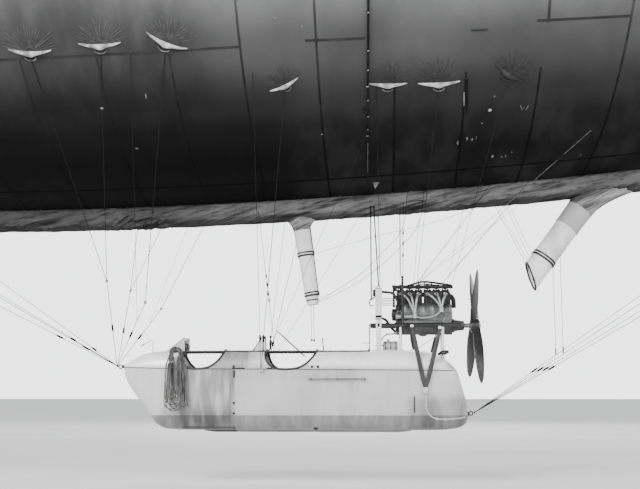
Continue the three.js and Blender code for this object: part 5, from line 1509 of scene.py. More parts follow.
def make_crankcase():
    case = Shape()
    profile = [(0.062, -3.375), (0.074, -3.398), (0.0815, -3.436), (0.0815, -3.48), (0.076, -3.512), (0.095, -3.514),
               (0.095, -3.5315), (0.06, -3.5315), (0.064, -3.565), (0.054, -3.6), (0.03, -3.625)]
    outline = profile + [(-y, z) for y, z in reversed(profile)]
    stations = [1.6, 1.606]
    for n in range(7):
        stations += [1.607 + 0.0765 * n + step for step in (0, 0.006, 0.012)]
    stations += [2.069, 2.075]
    rows = []
    for n, x in enumerate(stations):
        ends = 0.94 if n in (0, len(stations) - 1) else 1.0
        rib = 1.035 if (n - 2) % 3 == 1 and 1 < n < len(stations) - 2 else 1.0
        rows.append([(x, y * ends * (rib if abs(y) < 0.09 else 1), -3.5 + (z + 3.5) * ends) for y, z in outline])
    case.grid(rows, around=True, ends=True)
    face = (1.6, 0, -3.455)
    case.turned([(-0.032, 0.03), (-0.03, 0.045), (-0.026, 0.052), (0.002, 0.052)], face, sides=36)
    case.turned([(-0.036, 0.012), (-0.034, 0.02), (-0.03, 0.022)], face, sides=20)
    for turn in turns(8):
        case.turned([(-0.0315, 0.003), (-0.0295, 0.005), (-0.024, 0.005)],
                    (1.6, 0.044 * math.cos(turn), -3.455 + 0.044 * math.sin(turn)), sides=6)
    case.turned([(-0.005, 0.058), (0.02, 0.058), (0.028, 0.05), (0.09, 0.04), (0.1, 0.043), (0.105, 0.036)],
                (2.075, 0, AXIS), sides=36)
    for side in (-1, 1):
        for x in CYLINDERS:
            case.turned([(0, 0.02), (0.006, 0.02), (0.008, 0.014)], (x, side * 0.0795, -3.458), (0, side, 0), 18)
            case.turned([(-0.002, 0.006), (0.006, 0.006), (0.008, 0.003)], (x, side * 0.088, -3.514), UP, 6)
    case.turned([(0, 0.035), (0.012, 0.033), (0.018, 0.012)], (1.83, 0, -3.622), DOWN, 18)
    piece("engine_case", case, "cast", replaces=["crankcase"], bevel=0.0012)
    magneto = Shape()
    magneto.turned([(0, 0.016), (0.004, 0.024), (0.06, 0.024), (0.064, 0.018), (0.078, 0.016)], (1.59, 0.06, -3.455),
                   Vector((1.66, 0.09, -3.455)) - Vector((1.59, 0.06, -3.455)), 18)
    magneto.turned([(-0.004, 0.031), (0.016, 0.031), (0.021, 0.026), (0.021, 0.012), (0.024, 0.009)],
                   (1.629, -0.0815, -3.452), (0, -1, 0), 28)
    magneto.tube(even_curve([(1.628, -0.1, -3.425), (1.625, -0.098, -3.39), (1.63, -0.07, -3.35),
                             (1.634, -0.044, -3.33)], 16), 0.0062, 9)
    magneto.block((1.603, -0.0805, -3.508), (1.655, -0.0745, -3.395))
    magneto.turned([(0, 0.014), (0.05, 0.014), (0.054, 0.01)], (1.66, -0.094, -3.49), sides=16)
    piece("magneto", magneto, "iron")
    rim = Shape().ring((1.629, -0.1032, -3.452), (0, 1, 0), 0.019, 0.0022, around=28, sides=7)
    for turn in turns(6):
        rim.turned([(0, 0.0028), (0.003, 0.0028)],
                   (1.629 + 0.026 * math.cos(turn), -0.1005, -3.452 + 0.026 * math.sin(turn)), (0, -1, 0), 6)
    piece("magneto_rim", rim, "steel")


def make_cylinders():
    barrels, bright = Shape(), Shape()
    for n, x in enumerate(CYLINDERS):
        # the middle pair is a little slimmer, which leaves a gap between the two blocks
        wide = 0.0332 if n in (2, 3) else 0.0358
        profile = [(0, 0.036), (0.01, 0.036), (0.011, wide)]
        for z in [0.016 + 0.0092 * k for k in range(9)]:
            profile += [(z, wide - 0.0015), (z + 0.0012, wide), (z + 0.0046, wide), (z + 0.0058, wide - 0.0015)]
        profile += [(0.104, wide - 0.0005), (0.112, 0.03), (0.12, 0.024), (0.128, 0.018)]
        barrels.turned(profile, (x, 0, -3.374), UP, 26)
        for side in (-1, 1):
            barrels.turned([(0, 0.0085), (0.014, 0.0085), (0.016, 0.006), (0.03, 0.0035)], (x, side * 0.016, -3.26),
                           (0, side * 0.35, 1), 10)
            bright.turned([(0, 0.005), (0.012, 0.005), (0.014, 0.0075), (0.018, 0.0075)],
                          (x + 0.012, side * 0.03, -3.285), (0, side, 0.2), 6)
        for y, dx in ((-0.03, -0.03), (-0.03, 0.03), (0.03, -0.03), (0.03, 0.03)):
            barrels.turned([(0, 0.004), (0.018, 0.004), (0.02, 0.002)], (x + dx * 0.93, y * 0.9, -3.374), UP, 6)
    barrels.block((1.608, -0.044, -3.3746), (2.069, 0.044, -3.3645))
    # each three cylinders share a water jacket
    for x0, x1 in ((1.615, 1.8285), (1.8415, 2.069)):
        barrels.block((x0, -0.024, -3.366), (x1, 0.024, -3.264))
        barrels.turned([(0, 0.013), (x1 - x0 - 0.03, 0.013)], (x0 + 0.015, 0, -3.262), sides=12)
    piece("cylinder_row", barrels, "barrel", replaces=["cylinders"], bevel=0.0006, slot="cast_metal")
    leads = Shape()
    for n, x in enumerate(CYLINDERS):
        leads.tube([(x + 0.012, 0.046, -3.28), (x + 0.006, 0.058, -3.3), (x - 0.01, 0.052, -3.34),
                    (1.64 + 0.06 * n, 0.05, -3.356)], 0.0022, 6)
    leads.rod((1.62, 0.05, -3.356), (2.05, 0.05, -3.356), 0.0065, 10)
    piece("spark_leads", leads, "rim", slot="dark_metal")
    piece("spark_plugs", bright, "pipe")


# the pipes that arch over the valve gear: x, z
GEAR_ARCH = [(1.69, -3.212), (1.758, -3.19), (1.835, -3.172), (1.93, -3.18), (2.03, -3.196), (2.078, -3.206),
             (2.088, -3.228)]


def make_valve_gear():
    gear = Shape()
    gear.turned([(0, 0.011), (0.004, 0.015), (0.467, 0.015), (0.471, 0.011)], (1.613, 0, -3.216), sides=20)
    for x in CYLINDERS:
        gear.bead((x, 0, -3.216), AFT, 0.016, 0.016, 0.014, 0.0195, 18)
        for side in (-1, 1):
            gear.tube([(x, side * 0.01, -3.206), (x, side * 0.028, -3.2015), (x, side * 0.046, -3.214)], 0.0055, 8)
            gear.tube([(x, side * 0.044, -3.214), (x, side * 0.04, -3.232), (x, side * 0.033, -3.248)], 0.0035, 8)
            gear.turned([(-0.004, 0.006), (0.004, 0.006)], (x, side * 0.044, -3.215), sides=10)
        gear.rod((x, 0, -3.245), (x, 0, -3.225), 0.008, 10)
        # valve springs either side of the rocker's post
        for dx in (-0.021, 0.021):
            gear.turned([(0, 0.013), (0.026, 0.013), (0.028, 0.007), (0.036, 0.005)], (x + dx, 0, -3.268), UP, 12)
            for level in (0.005, 0.012, 0.019):
                gear.ring((x + dx, 0, -3.268 + level), UP, 0.0135, 0.002, around=14, sides=5)
    for side in (-1, 1):
        gear.tube(even_curve([(x, side * 0.026, z) for x, z in GEAR_ARCH], 30), 0.0062, 9)
    gear.tube(even_curve([(x, 0, z - 0.019) for x, z in GEAR_ARCH[1:-2]], 24), 0.0052, 8)
    for x in (1.758, 1.8, 1.85, 1.91, 1.97, 2.03):
        top = between(GEAR_ARCH, x)
        gear.tube([(x, -0.026, top), (x, -0.012, top - 0.015), (x, 0.012, top - 0.015), (x, 0.026, top)], 0.0038, 7)
        gear.rod((x, 0, -3.206), (x, 0, top - 0.017), 0.0045, 7)
    gear.turned([(-0.01, 0.02), (-0.008, 0.026), (0.01, 0.026), (0.012, 0.02)], (1.602, 0, -3.226), sides=24)
    gear.turned([(0, 0.012), (0.02, 0.0085), (0.15, 0.0085), (0.172, 0.012), (0.178, 0.016), (0.19, 0.014)],
                (1.586, 0, -3.39), UP, 16)
    gear.rod((1.58, 0, -3.214), (1.6, 0, -3.214), 0.0135, 14)
    piece("rocker_gear", gear, "iron", replaces=["valve_gear"], bevel=0.0005)


def make_pipes():
    intake = Shape()
    for group, x, z in ((CYLINDERS[:3], 1.76, -3.47), (CYLINDERS[3:], 1.985, -3.42)):
        intake.turned([(-0.026, 0.014), (-0.022, 0.022), (0.018, 0.022), (0.024, 0.014)], (x, -0.112, z), UP, 20)
        intake.ring((x, -0.112, z + 0.008), UP, 0.022, 0.002, around=20, sides=6)
        for start in group:
            intake.tube(even_curve([(start, -0.032, -3.28), (start, -0.07, -3.281), ((start + x) / 2, -0.108, -3.33),
                                    (x, -0.112, z + 0.012)], 22), 0.0098, 12)
            intake.turned([(0, 0.015), (0.005, 0.015), (0.007, 0.011)], (start, -0.032, -3.28), (0, -1, 0), 14)
    intake.tube(even_curve([(1.76, -0.112, -3.476), (1.83, -0.122, -3.49), (1.93, -0.122, -3.47),
                            (1.985, -0.112, -3.426)], 20), 0.0088, 12)
    intake.turned([(0, 0.0235), (0.004, 0.024), (0.02, 0.02), (0.15, 0.014), (0.16, 0.014)], (1.6, -0.118, -3.478),
                  (1, 0.03, 0), 22)
    piece("intake_fans", intake, "pipe", replaces=["intake_pipes"])
    stack = Shape()
    stack.tube(even_curve([(1.63, 0.078, -3.276), (1.85, 0.078, -3.276), (2.04, 0.08, -3.28), (2.095, 0.092, -3.31),
                           (2.105, 0.104, -3.39)], 40), 0.0205, 18)
    for x in CYLINDERS:
        stack.rod((x, 0.0315, -3.278), (x, 0.074, -3.278), 0.0115, 14)
        stack.turned([(0, 0.016), (0.005, 0.016)], (x, 0.032, -3.278), (0, 1, 0), 14)
    piece("exhaust_trunk", stack, "iron", replaces=["exhaust_stack"])


def make_radiator():
    fore, aft, half = 1.427, 1.485, 0.14
    shell = Shape()
    shell.slab([(fore, -3.246), (fore, -3.231), (1.44, -3.222), (1.472, -3.222), (aft, -3.231), (aft, -3.246)],
               -half, half)
    shell.block((fore, -half, -3.49), (aft, half, -3.467))
    for y in (-half, 0.13):
        shell.block((1.4275, y, -3.488), (1.4845, y + 0.01, -3.238))
        for z in (-3.3, -3.4):
            shell.block((1.4265, y - 0.0012, z - 0.004), (1.4855, y + 0.0112, z + 0.004))
    shell.turned([(0, 0.018), (0.012, 0.018), (0.013, 0.021), (0.02, 0.021), (0.022, 0.015)], (1.455, 0, -3.226), UP)
    piece("radiator_tanks", shell, "light", replaces=["radiator"], bevel=0.002, slot="steel")
    core = Shape()
    for z in [-3.466 + 0.0053 * k for k in range(42)]:
        core.block((1.436, -0.129, z), (1.474, 0.129, z + 0.0012))
    for y in [-0.126 + 0.01326 * k for k in range(20)]:
        core.turned([(0, 0.003), (0.225, 0.003)], (1.455, y, -3.469), UP, 6)
    piece("radiator_core", core, "iron", slot="steel", smooth=False)
    plumbing = Shape()
    plumbing.tube(even_curve([(1.478, -0.02, -3.258), (1.52, -0.02, -3.262), (1.57, -0.03, -3.27), (1.6, -0.035, -3.3),
                              (1.625, -0.04, -3.36)], 24), 0.011, 14)
    plumbing.tube(even_curve([(1.478, 0.02, -3.48), (1.52, 0.02, -3.5), (1.56, 0.02, -3.56), (1.6, 0.02, -3.6)], 20),
                  0.011, 14)
    for at, axis in (((1.49, -0.022, -3.2585), AFT), ((1.61, -0.037, -3.32), (0.4, 0, -1))):
        plumbing.turned([(-0.004, 0.0125), (0.004, 0.0125)], at, axis, 14)
    piece("coolant_hoses", plumbing, "rim", slot="dark_metal")
    rods = Shape()
    for z in (-3.325, -3.362):
        for y in (-0.1, 0.1):
            rods.rod((1.48, y, z), (1.66, y, z), 0.0035, 8)
    rods.tube([(1.43, -0.13, -3.31), (1.385, -0.135, -3.336), (1.376, -0.135, -3.37), (1.395, -0.135, -3.392),
               (1.415, -0.135, -3.38)], 0.005, 8)
    rods.block((1.408, -0.142, -3.308), (1.43, -0.13, -3.25))
    rods.rod((1.378, -0.12, -3.54), (1.378, -0.12, -3.73), 0.0042, 8)
    rods.rod((1.378, -0.12, -3.555), (1.395, -0.095, -3.555), 0.0042, 8)
    rods.rod((1.32, -0.11, -3.7), (1.38, -0.12, -3.7), 0.0035, 8)
    rods.tube([(1.378, -0.12, -3.71), (1.376, -0.12, deck_z(1.376, -0.12))], 0.004, 8)
    piece("radiator_rods", rods, "iron")


def make_tank():
    tank = Shape()
    axis_z = -3.722
    tank.turned([(0, 0.02), (0.002, 0.036), (0.007, 0.041), (0.012, 0.042), (0.116, 0.042), (0.121, 0.041),
                 (0.126, 0.036), (0.128, 0.02)], (1.49, 0, axis_z), sides=40)
    tank.turned([(0, 0.01), (0.012, 0.01), (0.013, 0.014), (0.02, 0.014), (0.022, 0.008)], (1.535, 0, -3.684), UP, 16)
    piece("oil_tank", tank, "tank", replaces=["deck_tank"], slot="cast_metal")
    bands = Shape()
    for x in (1.512, 1.556, 1.6):
        bands.bead((x, 0, axis_z), AFT, 0.0035, 0.0415, 0.003, 0.0432, 40)
    for x in (1.512, 1.6):
        low = deck_z(x, 0.03) - 0.003
        bands.slab([(x - 0.007, low), (x + 0.007, low), (x + 0.006, -3.742), (x - 0.006, -3.742)], -0.034, 0.034)
    piece("tank_bands", bands, "strut", bevel=0.0006)
    bits = Shape()
    bits.tube(even_curve([(1.49, -0.01, -3.72), (1.47, -0.03, -3.7), (1.5, -0.06, -3.64), (1.56, -0.06, -3.62),
                          (1.62, -0.05, -3.61)], 24), 0.0055, 10)
    bits.tube([(1.515, -0.1, -3.624), (1.592, -0.1, -3.624)], 0.006, 10)
    bits.tube([(1.592, -0.1, -3.624), (1.6, -0.08, -3.61), (1.61, -0.05, -3.6)], 0.006, 10)
    piece("oil_pipes", bits, "pipe")


def make_struts():
    for name, side in (("strut_port", -1), ("strut_starboard", 1)):
        legs = Shape()
        foot = Vector((1.837, side * 0.222, -4.092))
        for x, z in ARMS:
            top = Vector((x, side * 0.215, z - 0.013))
            down = (foot - top).normalized()
            chord = Vector((0, side, 0)).cross(down).normalized()
            flat = down.cross(chord).normalized()
            rows = []
            for k in range(13):
                size = 1.0 if 1 < k < 11 else (0.75 if k in (1, 11) else 0.5)
                at = top.lerp(foot, k / 12)
                rows.append([at + chord * 0.0185 * size * math.cos(t) + flat * 0.009 * size * math.sin(t)
                             for t in turns(20)])
            legs.grid(rows, around=True, ends=True)
            legs.bead(top, (0, 1, 0), 0.014, 0.008, 0.011, 0.014, 16)
        piece(name + "_legs", legs, "strut", replaces=[name])
        pad = Shape()
        y0, y1 = sorted((side * (side_y(1.837, -4.098) - 0.001), side * 0.231))
        pad.slab([(1.815, -4.125), (1.859, -4.125), (1.861, -4.085), (1.849, -4.07), (1.825, -4.07),
                  (1.813, -4.085)], y0, y1)
        for x in (1.824, 1.85):
            for z in (-4.117, -4.09):
                pad.turned([(0, 0.0045), (0.004, 0.0045), (0.005, 0.003)], (x, side * 0.23, z), (0, side, 0), 6)
        piece(name + "_foot", pad, "car", bevel=0.0015)


PROPELLER = {"x": 2.27, "lean": 49, "blades": 4}
BLADE = [
    # distance out, chord, thickness, angle from the disc in degrees
    (0.038, 0.064, 0.044, 62), (0.11, 0.078, 0.034, 52), (0.22, 0.104, 0.024, 42), (0.36, 0.118, 0.017, 33),
    (0.45, 0.112, 0.013, 30), (0.54, 0.092, 0.01, 28), (0.6, 0.066, 0.008, 27), (0.646, 0.024, 0.006, 26),
]


def make_propeller():
    table = np.array(BLADE)
    blade_rows = []
    for far in np.concatenate([np.linspace(0.038, 0.6, 40), np.linspace(0.607, 0.648, 10)]):
        chord, thick, pitch = (float(np.interp(far, table[:, 0], table[:, k])) for k in (1, 2, 3))
        if far > 0.6:
            chord = 0.066 * max(1 - ((far - 0.6) / 0.05) ** 1.5, 0.06)
        lean = math.radians(pitch)
        row = []
        for turn in turns(22):
            u = chord / 2 * math.cos(turn)
            v = thick / 2 * math.sin(turn) * (1 if math.sin(turn) > 0 else 0.45) * (1 - 0.25 * math.cos(turn))
            row.append(Vector((u * math.sin(lean) + v * math.cos(lean), u * math.cos(lean) - v * math.sin(lean), far)))
        blade_rows.append(row)
    centre = Vector((PROPELLER["x"], 0, AXIS))
    blades, tips = Shape(), Shape()
    for n in range(PROPELLER["blades"]):
        turn = Matrix.Rotation(math.radians(PROPELLER["lean"] + 90 * n), 3, "X")
        stagger = Vector((0.014 if n % 2 else -0.014, 0, 0))
        blades.grid([[turn @ p + stagger + centre for p in row] for row in blade_rows], around=True, ends=True)
        sheath = []
        for row in blade_rows[30:]:
            edge = sorted(range(22), key=lambda i: row[i].y)[:5]
            mid = sum((row[i] for i in edge), Vector()) / 5
            sheath.append(turn @ (mid + Vector((0, -0.001, 0))) + stagger + centre)
        tips.tube(sheath, [0.0035] * (len(sheath) - 3) + [0.003, 0.0025, 0.0018], 8, squash=0.8)
    blades.turned([(-0.032, 0.05), (-0.03, 0.058), (-0.024, 0.062), (0.024, 0.062), (0.03, 0.058), (0.032, 0.05)],
                  centre, sides=48)
    piece("propeller_wood", blades, "propeller", body="propeller", replaces=["propeller"])
    piece("propeller_sheaths", tips, "brass", body="propeller")
    hub = Shape()
    hub.turned([(-0.04, 0.044), (-0.037, 0.048), (-0.031, 0.048)], centre, sides=36)
    hub.turned([(0.031, 0.048), (0.037, 0.048), (0.04, 0.044), (0.041, 0.022), (0.046, 0.02), (0.052, 0.012)], centre,
               sides=36)
    for turn in turns(8):
        hub.turned([(0.036, 0.006), (0.045, 0.006), (0.047, 0.004)],
                   centre + Vector((0, 0.036 * math.cos(turn), 0.036 * math.sin(turn))), sides=6)
    hub.rod(centre + Vector((-0.127, 0, 0)), centre, 0.0198, 28)
    piece("propeller_hub", hub, "steel", body="propeller")


# Fittings and rigging

RAIL_Y, RAIL_Z = 0.24, -4.002


def make_rails():
    for name, side in (("grab_rail_port", -1), ("grab_rail_starboard", 1)):
        rail = Shape()
        rail.tube([(x, side * RAIL_Y, RAIL_Z) for x in (0.872, 0.877, 1.343, 1.348)], [0.004, 0.006, 0.006, 0.004], 12)
        for x in (0.885, 1.11, 1.335):
            wall = side_y(x, RAIL_Z)
            rail.tube([(x, side * (wall - 0.002), RAIL_Z), (x, side * RAIL_Y, RAIL_Z)], 0.0048, 10)
            rail.turned([(0, 0.014), (0.002, 0.013), (0.005, 0.006)], (x, side * (wall - 0.0005), RAIL_Z),
                        (0, side, 0), 16)
            rail.bead((x, side * RAIL_Y, RAIL_Z), AFT, 0.011, 0.007, 0.009, 0.0085, 12)
        piece(name + "_bar", rail, "steel", replaces=[name])


def make_eyes():
    for centre, to_hull, name in (((-0.768, 0, -3.892), 1, "bow"), ((2.224, 0, -4.286), -1, "stern")):
        x, _, z = centre
        eye = Shape().ring(centre, (0, 1, 0), 0.016, 0.005, around=28, sides=10)
        low, high = sorted((x + to_hull * 0.0115, x + to_hull * 0.045))
        eye.slab([(low, z - 0.013), (high, z - 0.013), (high, z + 0.014), (low, z + 0.014)], -0.007, 0.007)
        if name == "stern":
            eye.tube([(2.177, -0.05, -4.317), (2.2, -0.02, -4.305), (2.21, 0, -4.295)], 0.006, 10)
        piece(name + "_eye", eye, "iron", replaces=[name + "_fitting"], bevel=0.001)
    x, z = HANK["peg"]
    wall = side_y(x, z)
    reach = 0.27 - wall
    peg = Shape().turned([(0, 0.008), (reach + 0.006, 0.0078), (reach + 0.007, 0.014), (reach + 0.012, 0.015),
                          (reach + 0.015, 0.01)], (x, -wall + 0.002, z), (0, -1, 0), 18)
    peg.turned([(-0.003, 0.022), (0.003, 0.021), (0.005, 0.01)], (x, -wall, z), (0, -1, 0.4), 20)
    piece("hank_peg", peg, "iron", replaces=["rope_peg"])


def make_side_fittings():
    bits, bead, dark = Shape(), Shape(), Shape()
    for side in (-1, 1):
        bits.turned([(-0.004, 0.024), (0.004, 0.024), (0.008, 0.018), (0.008, 0.008), (0.012, 0.006)],
                    (0.926, side * (side_y(0.926, -4.405) - 0.004), -4.398), (0, side, -0.25))
        for x, z in ((CLIP, -4.199), (CLIP, -4.285), (0.241, -3.896)):
            bits.turned([(0, 0.011), (0.006, 0.01), (0.009, 0.005)], (x, side * side_y(x, z), z), (0, side, 0), 14)
        for x0, x1 in ((0.227, 0.336), (0.52, 0.565)):
            y = side_y(x0, -3.909)
            bits.slab([(x0, -3.915), (x1, -3.917), (x1, -3.908), (x0, -3.906)],
                      *sorted((side * (y - 0.002), side * (y + 0.006))))
        for x, step in ((0.897, 0.012), (0.947, -0.012)):
            y = side * side_y(x, -3.9)
            bits.turned([(-0.002, 0.012), (0.003, 0.011), (0.004, 0.006)], (x, y, -3.9), (0, side, 0.3), 16)
            bits.turned([(0, 0.004), (0.006, 0.004)], (x + step, y, -3.893), (0, side, 0.3), 8)

        line = []
        for x, z in ((1.849, -4.1), (1.842, -4.201), (1.848, -4.261), (1.882, -4.308), (1.929, -4.327), (2.0, -4.332),
                     (2.062, -4.329), (2.12, -4.324), (2.165, -4.316)):
            line.append(Vector((x, side * (side_y(x, z) + 0.003), z)))
        bead.tube(even_curve(line, 48), 0.0055, 8)
        for x, z in ((1.93, -4.329), (2.0, -4.334), (2.062, -4.331)):
            bead.turned([(0, 0.011), (0.006, 0.01)], (x, side * (side_y(x, z) - 0.001), z), (0, side, -0.2), 12)

        y = side_y(1.745, -4.2)
        dark.slab([(1.7405, -4.275), (1.7495, -4.275), (1.7495, -4.143), (1.7405, -4.143)],
                  *sorted((side * (y - 0.001), side * (y + 0.004))))
        dark.tube([(2.002 + 0.035 * math.cos(t), side * 0.122, -3.779 + 0.0095 * math.sin(t) + 0.004 * math.cos(t))
                   for t in [math.pi * n / 12 for n in range(25)]], 0.0078, 8)
        dark.rod((1.985, side * 0.12, -3.786), (1.98, side * 0.118, deck_z(1.98, 0.118) - 0.004), 0.004, 8)
    piece("side_fittings", bits, "iron", bevel=0.0008)
    piece("stern_strap", bead, "screen", slot="rope")
    piece("stern_handles", dark, "iron", bevel=0.0008)


def make_deck_fittings():
    posts = Shape()
    posts.turned([(0, 0.007), (0.1, 0.006), (0.104, 0.011), (0.118, 0.011), (0.121, 0.006)], (0.534, -0.05, -3.752),
                 UP, 14)
    posts.rod((0.492, -0.05, -3.78), (0.534, -0.05, -3.74), 0.005, 8)
    posts.block((0.524, -0.066, -3.70), (0.546, -0.034, -3.676))
    posts.turned([(0, 0.0055), (0.085, 0.004), (0.09, 0.0075), (0.1, 0.0075)],
                 (0.985, -0.05, deck_z(0.985, 0.05) - 0.002), (-0.08, 0, 1), 12)
    posts.tube([(-0.489, 0, deck_z(-0.489, 0) - 0.002), (-0.491, 0, -3.69), (-0.497, 0, -3.664), (-0.54, 0, -3.685),
                (-0.578, 0, -3.706)], 0.0032, 8)
    posts.turned([(-0.012, 0.002), (0, 0.005), (0.02, 0.005)], (-0.585, 0, -3.709), (1, 0, 0.5), 10)
    piece("deck_posts", posts, "iron", bevel=0.0006)
    cluster = Shape()
    for x, y, z, r in ((-0.196, -0.085, -3.688, 0.016), (-0.193, -0.09, -3.722, 0.02), (-0.19, -0.06, -3.752, 0.015),
                       (-0.19, 0.0, -3.72, 0.026), (-0.19, 0.07, -3.722, 0.022), (-0.172, -0.13, -3.8, 0.014)):
        cluster.turned([(-0.024, r * 0.7), (-0.018, r), (0.004, r), (0.007, r * 0.85)], (x, y, z), sides=22)
    cluster.block((-0.222, -0.1, -3.775), (-0.214, 0.095, -3.684))
    cluster.tube([(-0.215, -0.1, -3.76), (-0.2, -0.12, -3.775), (-0.178, -0.13, -3.79)], 0.006, 8)
    for y in (-0.08, 0.08):
        cluster.tube([(-0.232, y, -3.78), (-0.218, y, -3.77)], 0.006, 8)
    piece("instrument_cluster", cluster, "iron", bevel=0.0015)


def turnbuckle(shape, at, along, size=1.0):
    shape.turned([(-0.045 * size, 0.003), (-0.03 * size, 0.0045), (-0.022 * size, 0.0085 * size),
                  (0.022 * size, 0.0085 * size), (0.03 * size, 0.0045), (0.045 * size, 0.003)], at, axis=along,
                 sides=12)


BOW = Vector((-0.797, -0.008, -3.886))
STERN = Vector((2.253, -0.008, -4.28))
KNOT_FORE = Vector((-0.8, -0.42, -3.196))
KNOT_AFT = Vector((-0.493, -0.33, -3.366))
MIDDLE = Vector((0.472, -0.232, -3.922))
STAY = 0.0026


def make_stays():
    """The fans of main stays, drawn to port and mirrored."""
    fan_bow = Shape()
    for a, b in ((BOW, KNOT_FORE), (KNOT_FORE, skin(-1.024, 47, 0.004)), (KNOT_FORE, skin(-0.512, 47.6, 0.004)),
                 (BOW, KNOT_AFT), (KNOT_AFT, skin(-0.047, 47.6, 0.004)), (BOW, skin(-4.25, 45, 0.004)),
                 (BOW, skin(-4.9, 45, 0.004))):
        fan_bow.rod(a, b, STAY, 7)
    for end, share in ((KNOT_FORE, 0.46), (KNOT_AFT, 0.5), (skin(-4.25, 45), 0.07), (skin(-4.9, 45), 0.11)):
        turnbuckle(fan_bow, BOW.lerp(end, share), end - BOW)
    for knot in (KNOT_FORE, KNOT_AFT):
        fan_bow.ring(knot, (0, 1, 0.3), 0.009, 0.0035, around=14, sides=6)
    fan_bow.ring(BOW, (1, 0, 0.4), 0.008, 0.0035, around=14, sides=6)
    fan_middle, fan_stern = Shape(), Shape()
    for fan, foot, b, radius in ((fan_middle, MIDDLE, skin(0.783, 39.5, 0.004), STAY),
                                 (fan_middle, MIDDLE, skin(0.56, 43, 0.004), 0.0019),
                                 (fan_stern, STERN, skin(7.5, 45, 0.004), STAY),
                                 (fan_stern, STERN, skin(6.7, 45, 0.004), STAY)):
        fan.rod(foot, b, radius, 7)
        turnbuckle(fan, foot.lerp(b, 0.12), b - foot)
    fan_stern.ring(STERN, (1, 0, 0.4), 0.008, 0.0035, around=14, sides=6)
    lug = Shape().block((0.455, -0.236, -3.942), (0.489, -side_y(0.47, -3.93) + 0.001, -3.922))
    piece("stay_lugs", lug.mirrored(), "car", bevel=0.001)
    for name, fan in (("bow", fan_bow), ("middle", fan_middle), ("stern", fan_stern)):
        for side, which in ((1, "port"), (-1, "starboard")):
            piece(f"stay_fan_{name}_{which}", fan.copied(side), "wire", replaces=[f"stays_{name}_{which}"])


def under(x, y):
    """A point on the duct's or the envelope's underside."""
    return Vector((x, y, duct_edge(x, y)))


def make_wires():
    """The thin taut wires, drawn to port and mirrored."""
    low, high = Vector((1.812, -0.03, -3.168)), skin(3.111, 24.5, 0.003)
    piece("pale_stay", Shape().rod(low, high, 0.0017, 6).mirrored(), "thread")
    wire = Shape()
    for a, b, radius in (
        (BOW.lerp(KNOT_AFT, 0.72), skin(-0.3, 47, 0.004), 0.0016),
        ((1.47, -0.13, -3.23), skin(1.45, 39, 0.003), 0.0018),
        (MIDDLE + Vector((0, 0, 0.01)), skin(1.534, 38.6, 0.004), 0.0016),
        ((1.964, -0.214, -3.575), skin(2.418, 39.3, 0.004), 0.0018),
        ((1.732, -0.214, -3.56), skin(1.909, 38.1, 0.004), 0.0018),
        ((1.99, -0.02, -3.2), skin(2.75, 6, 0.003), 0.0016),
        ((1.78, -0.02, -3.19), skin(2.42, 6, 0.003), 0.0016),
        (under(1.645, -0.14), (1.645, -0.16, -3.135), 0.0024),
        ((0.585, -0.1, -3.59), (0.826, -0.15, -3.81), 0.003),
    ):
        wire.rod(a, b, radius, 6)
    turnbuckle(wire, high.lerp(low, 0.165), low - high, 0.8)
    piece("thin_stays", wire.mirrored(), "wire")


def make_cords():
    """Control lines that come down to the car and the engine, with their sleeves and toggles."""
    loose = Shape()
    for points in (((0.93, -0.03, -3.34), (1.1, -0.12, -3.25), (1.3, -0.2, -3.13), (1.5, -0.24, -2.94),
                    (1.66, -0.2, -2.74)),
                   ((0.93, 0.03, -3.345), (1.15, -0.05, -3.25), (1.4, -0.15, -3.11), (1.62, -0.2, -2.92),
                    (1.8, -0.2, -2.7))):
        x, y, _ = points[-1]
        loose.tube(even_curve([*points, under(x + 0.05, y)], 40), 0.0022, 6)
    loose.tube(even_curve([(0.92, -0.02, -2.92), (1.37, -0.06, -2.8), (2.1, -0.1, -2.62), under(2.4, -0.15)], 30),
               0.0018, 6)
    for x, z in ((2.938, -3.774), (3.0, -3.757)):
        loose.tube([(x, -0.05, scoop_under(x)), (x, -0.05, z + 0.03)], 0.0022, 6)
        loose.bead((x, -0.05, z), UP, 0.03, 0.002, 0.026, 0.0055, 10)
    # two control lines come down to the radiator, and lighter ones to the mast and the middle cowl
    loose.tube([under(1.394, -0.13), (1.394, -0.13, -2.7), (1.395, -0.132, -3.343)], 0.0052, 8)
    loose.tube([under(1.421, -0.13), (1.425, -0.13, -2.62), (1.458, -0.13, -3.232)], 0.0052, 8)
    for top, low, marks in ((under(1.674, -0.14), (1.662, -0.16, -3.142), (0.42, 0.56, 0.72)),
                            (under(0.43, -0.14), (0.585, -0.15, deck_z(0.585, 0.15)), (0.46, 0.52, 0.585, 0.63))):
        low = Vector(low)
        loose.tube([top, low], 0.0024, 6)
        for share in marks:
            loose.bead(top.lerp(low, share), low - top, 0.018, 0.003, 0.012, 0.0068, 10)
    for y in (-0.06, 0.06):
        loose.tube([under(2.47, y), (2.72, y, -3.0)], 0.0018, 6)
        loose.tube([under(2.56, y * 1.3), (2.76, y * 1.3, -2.96)], 0.0018, 6)
    piece("control_cords", loose, "dark_rope")


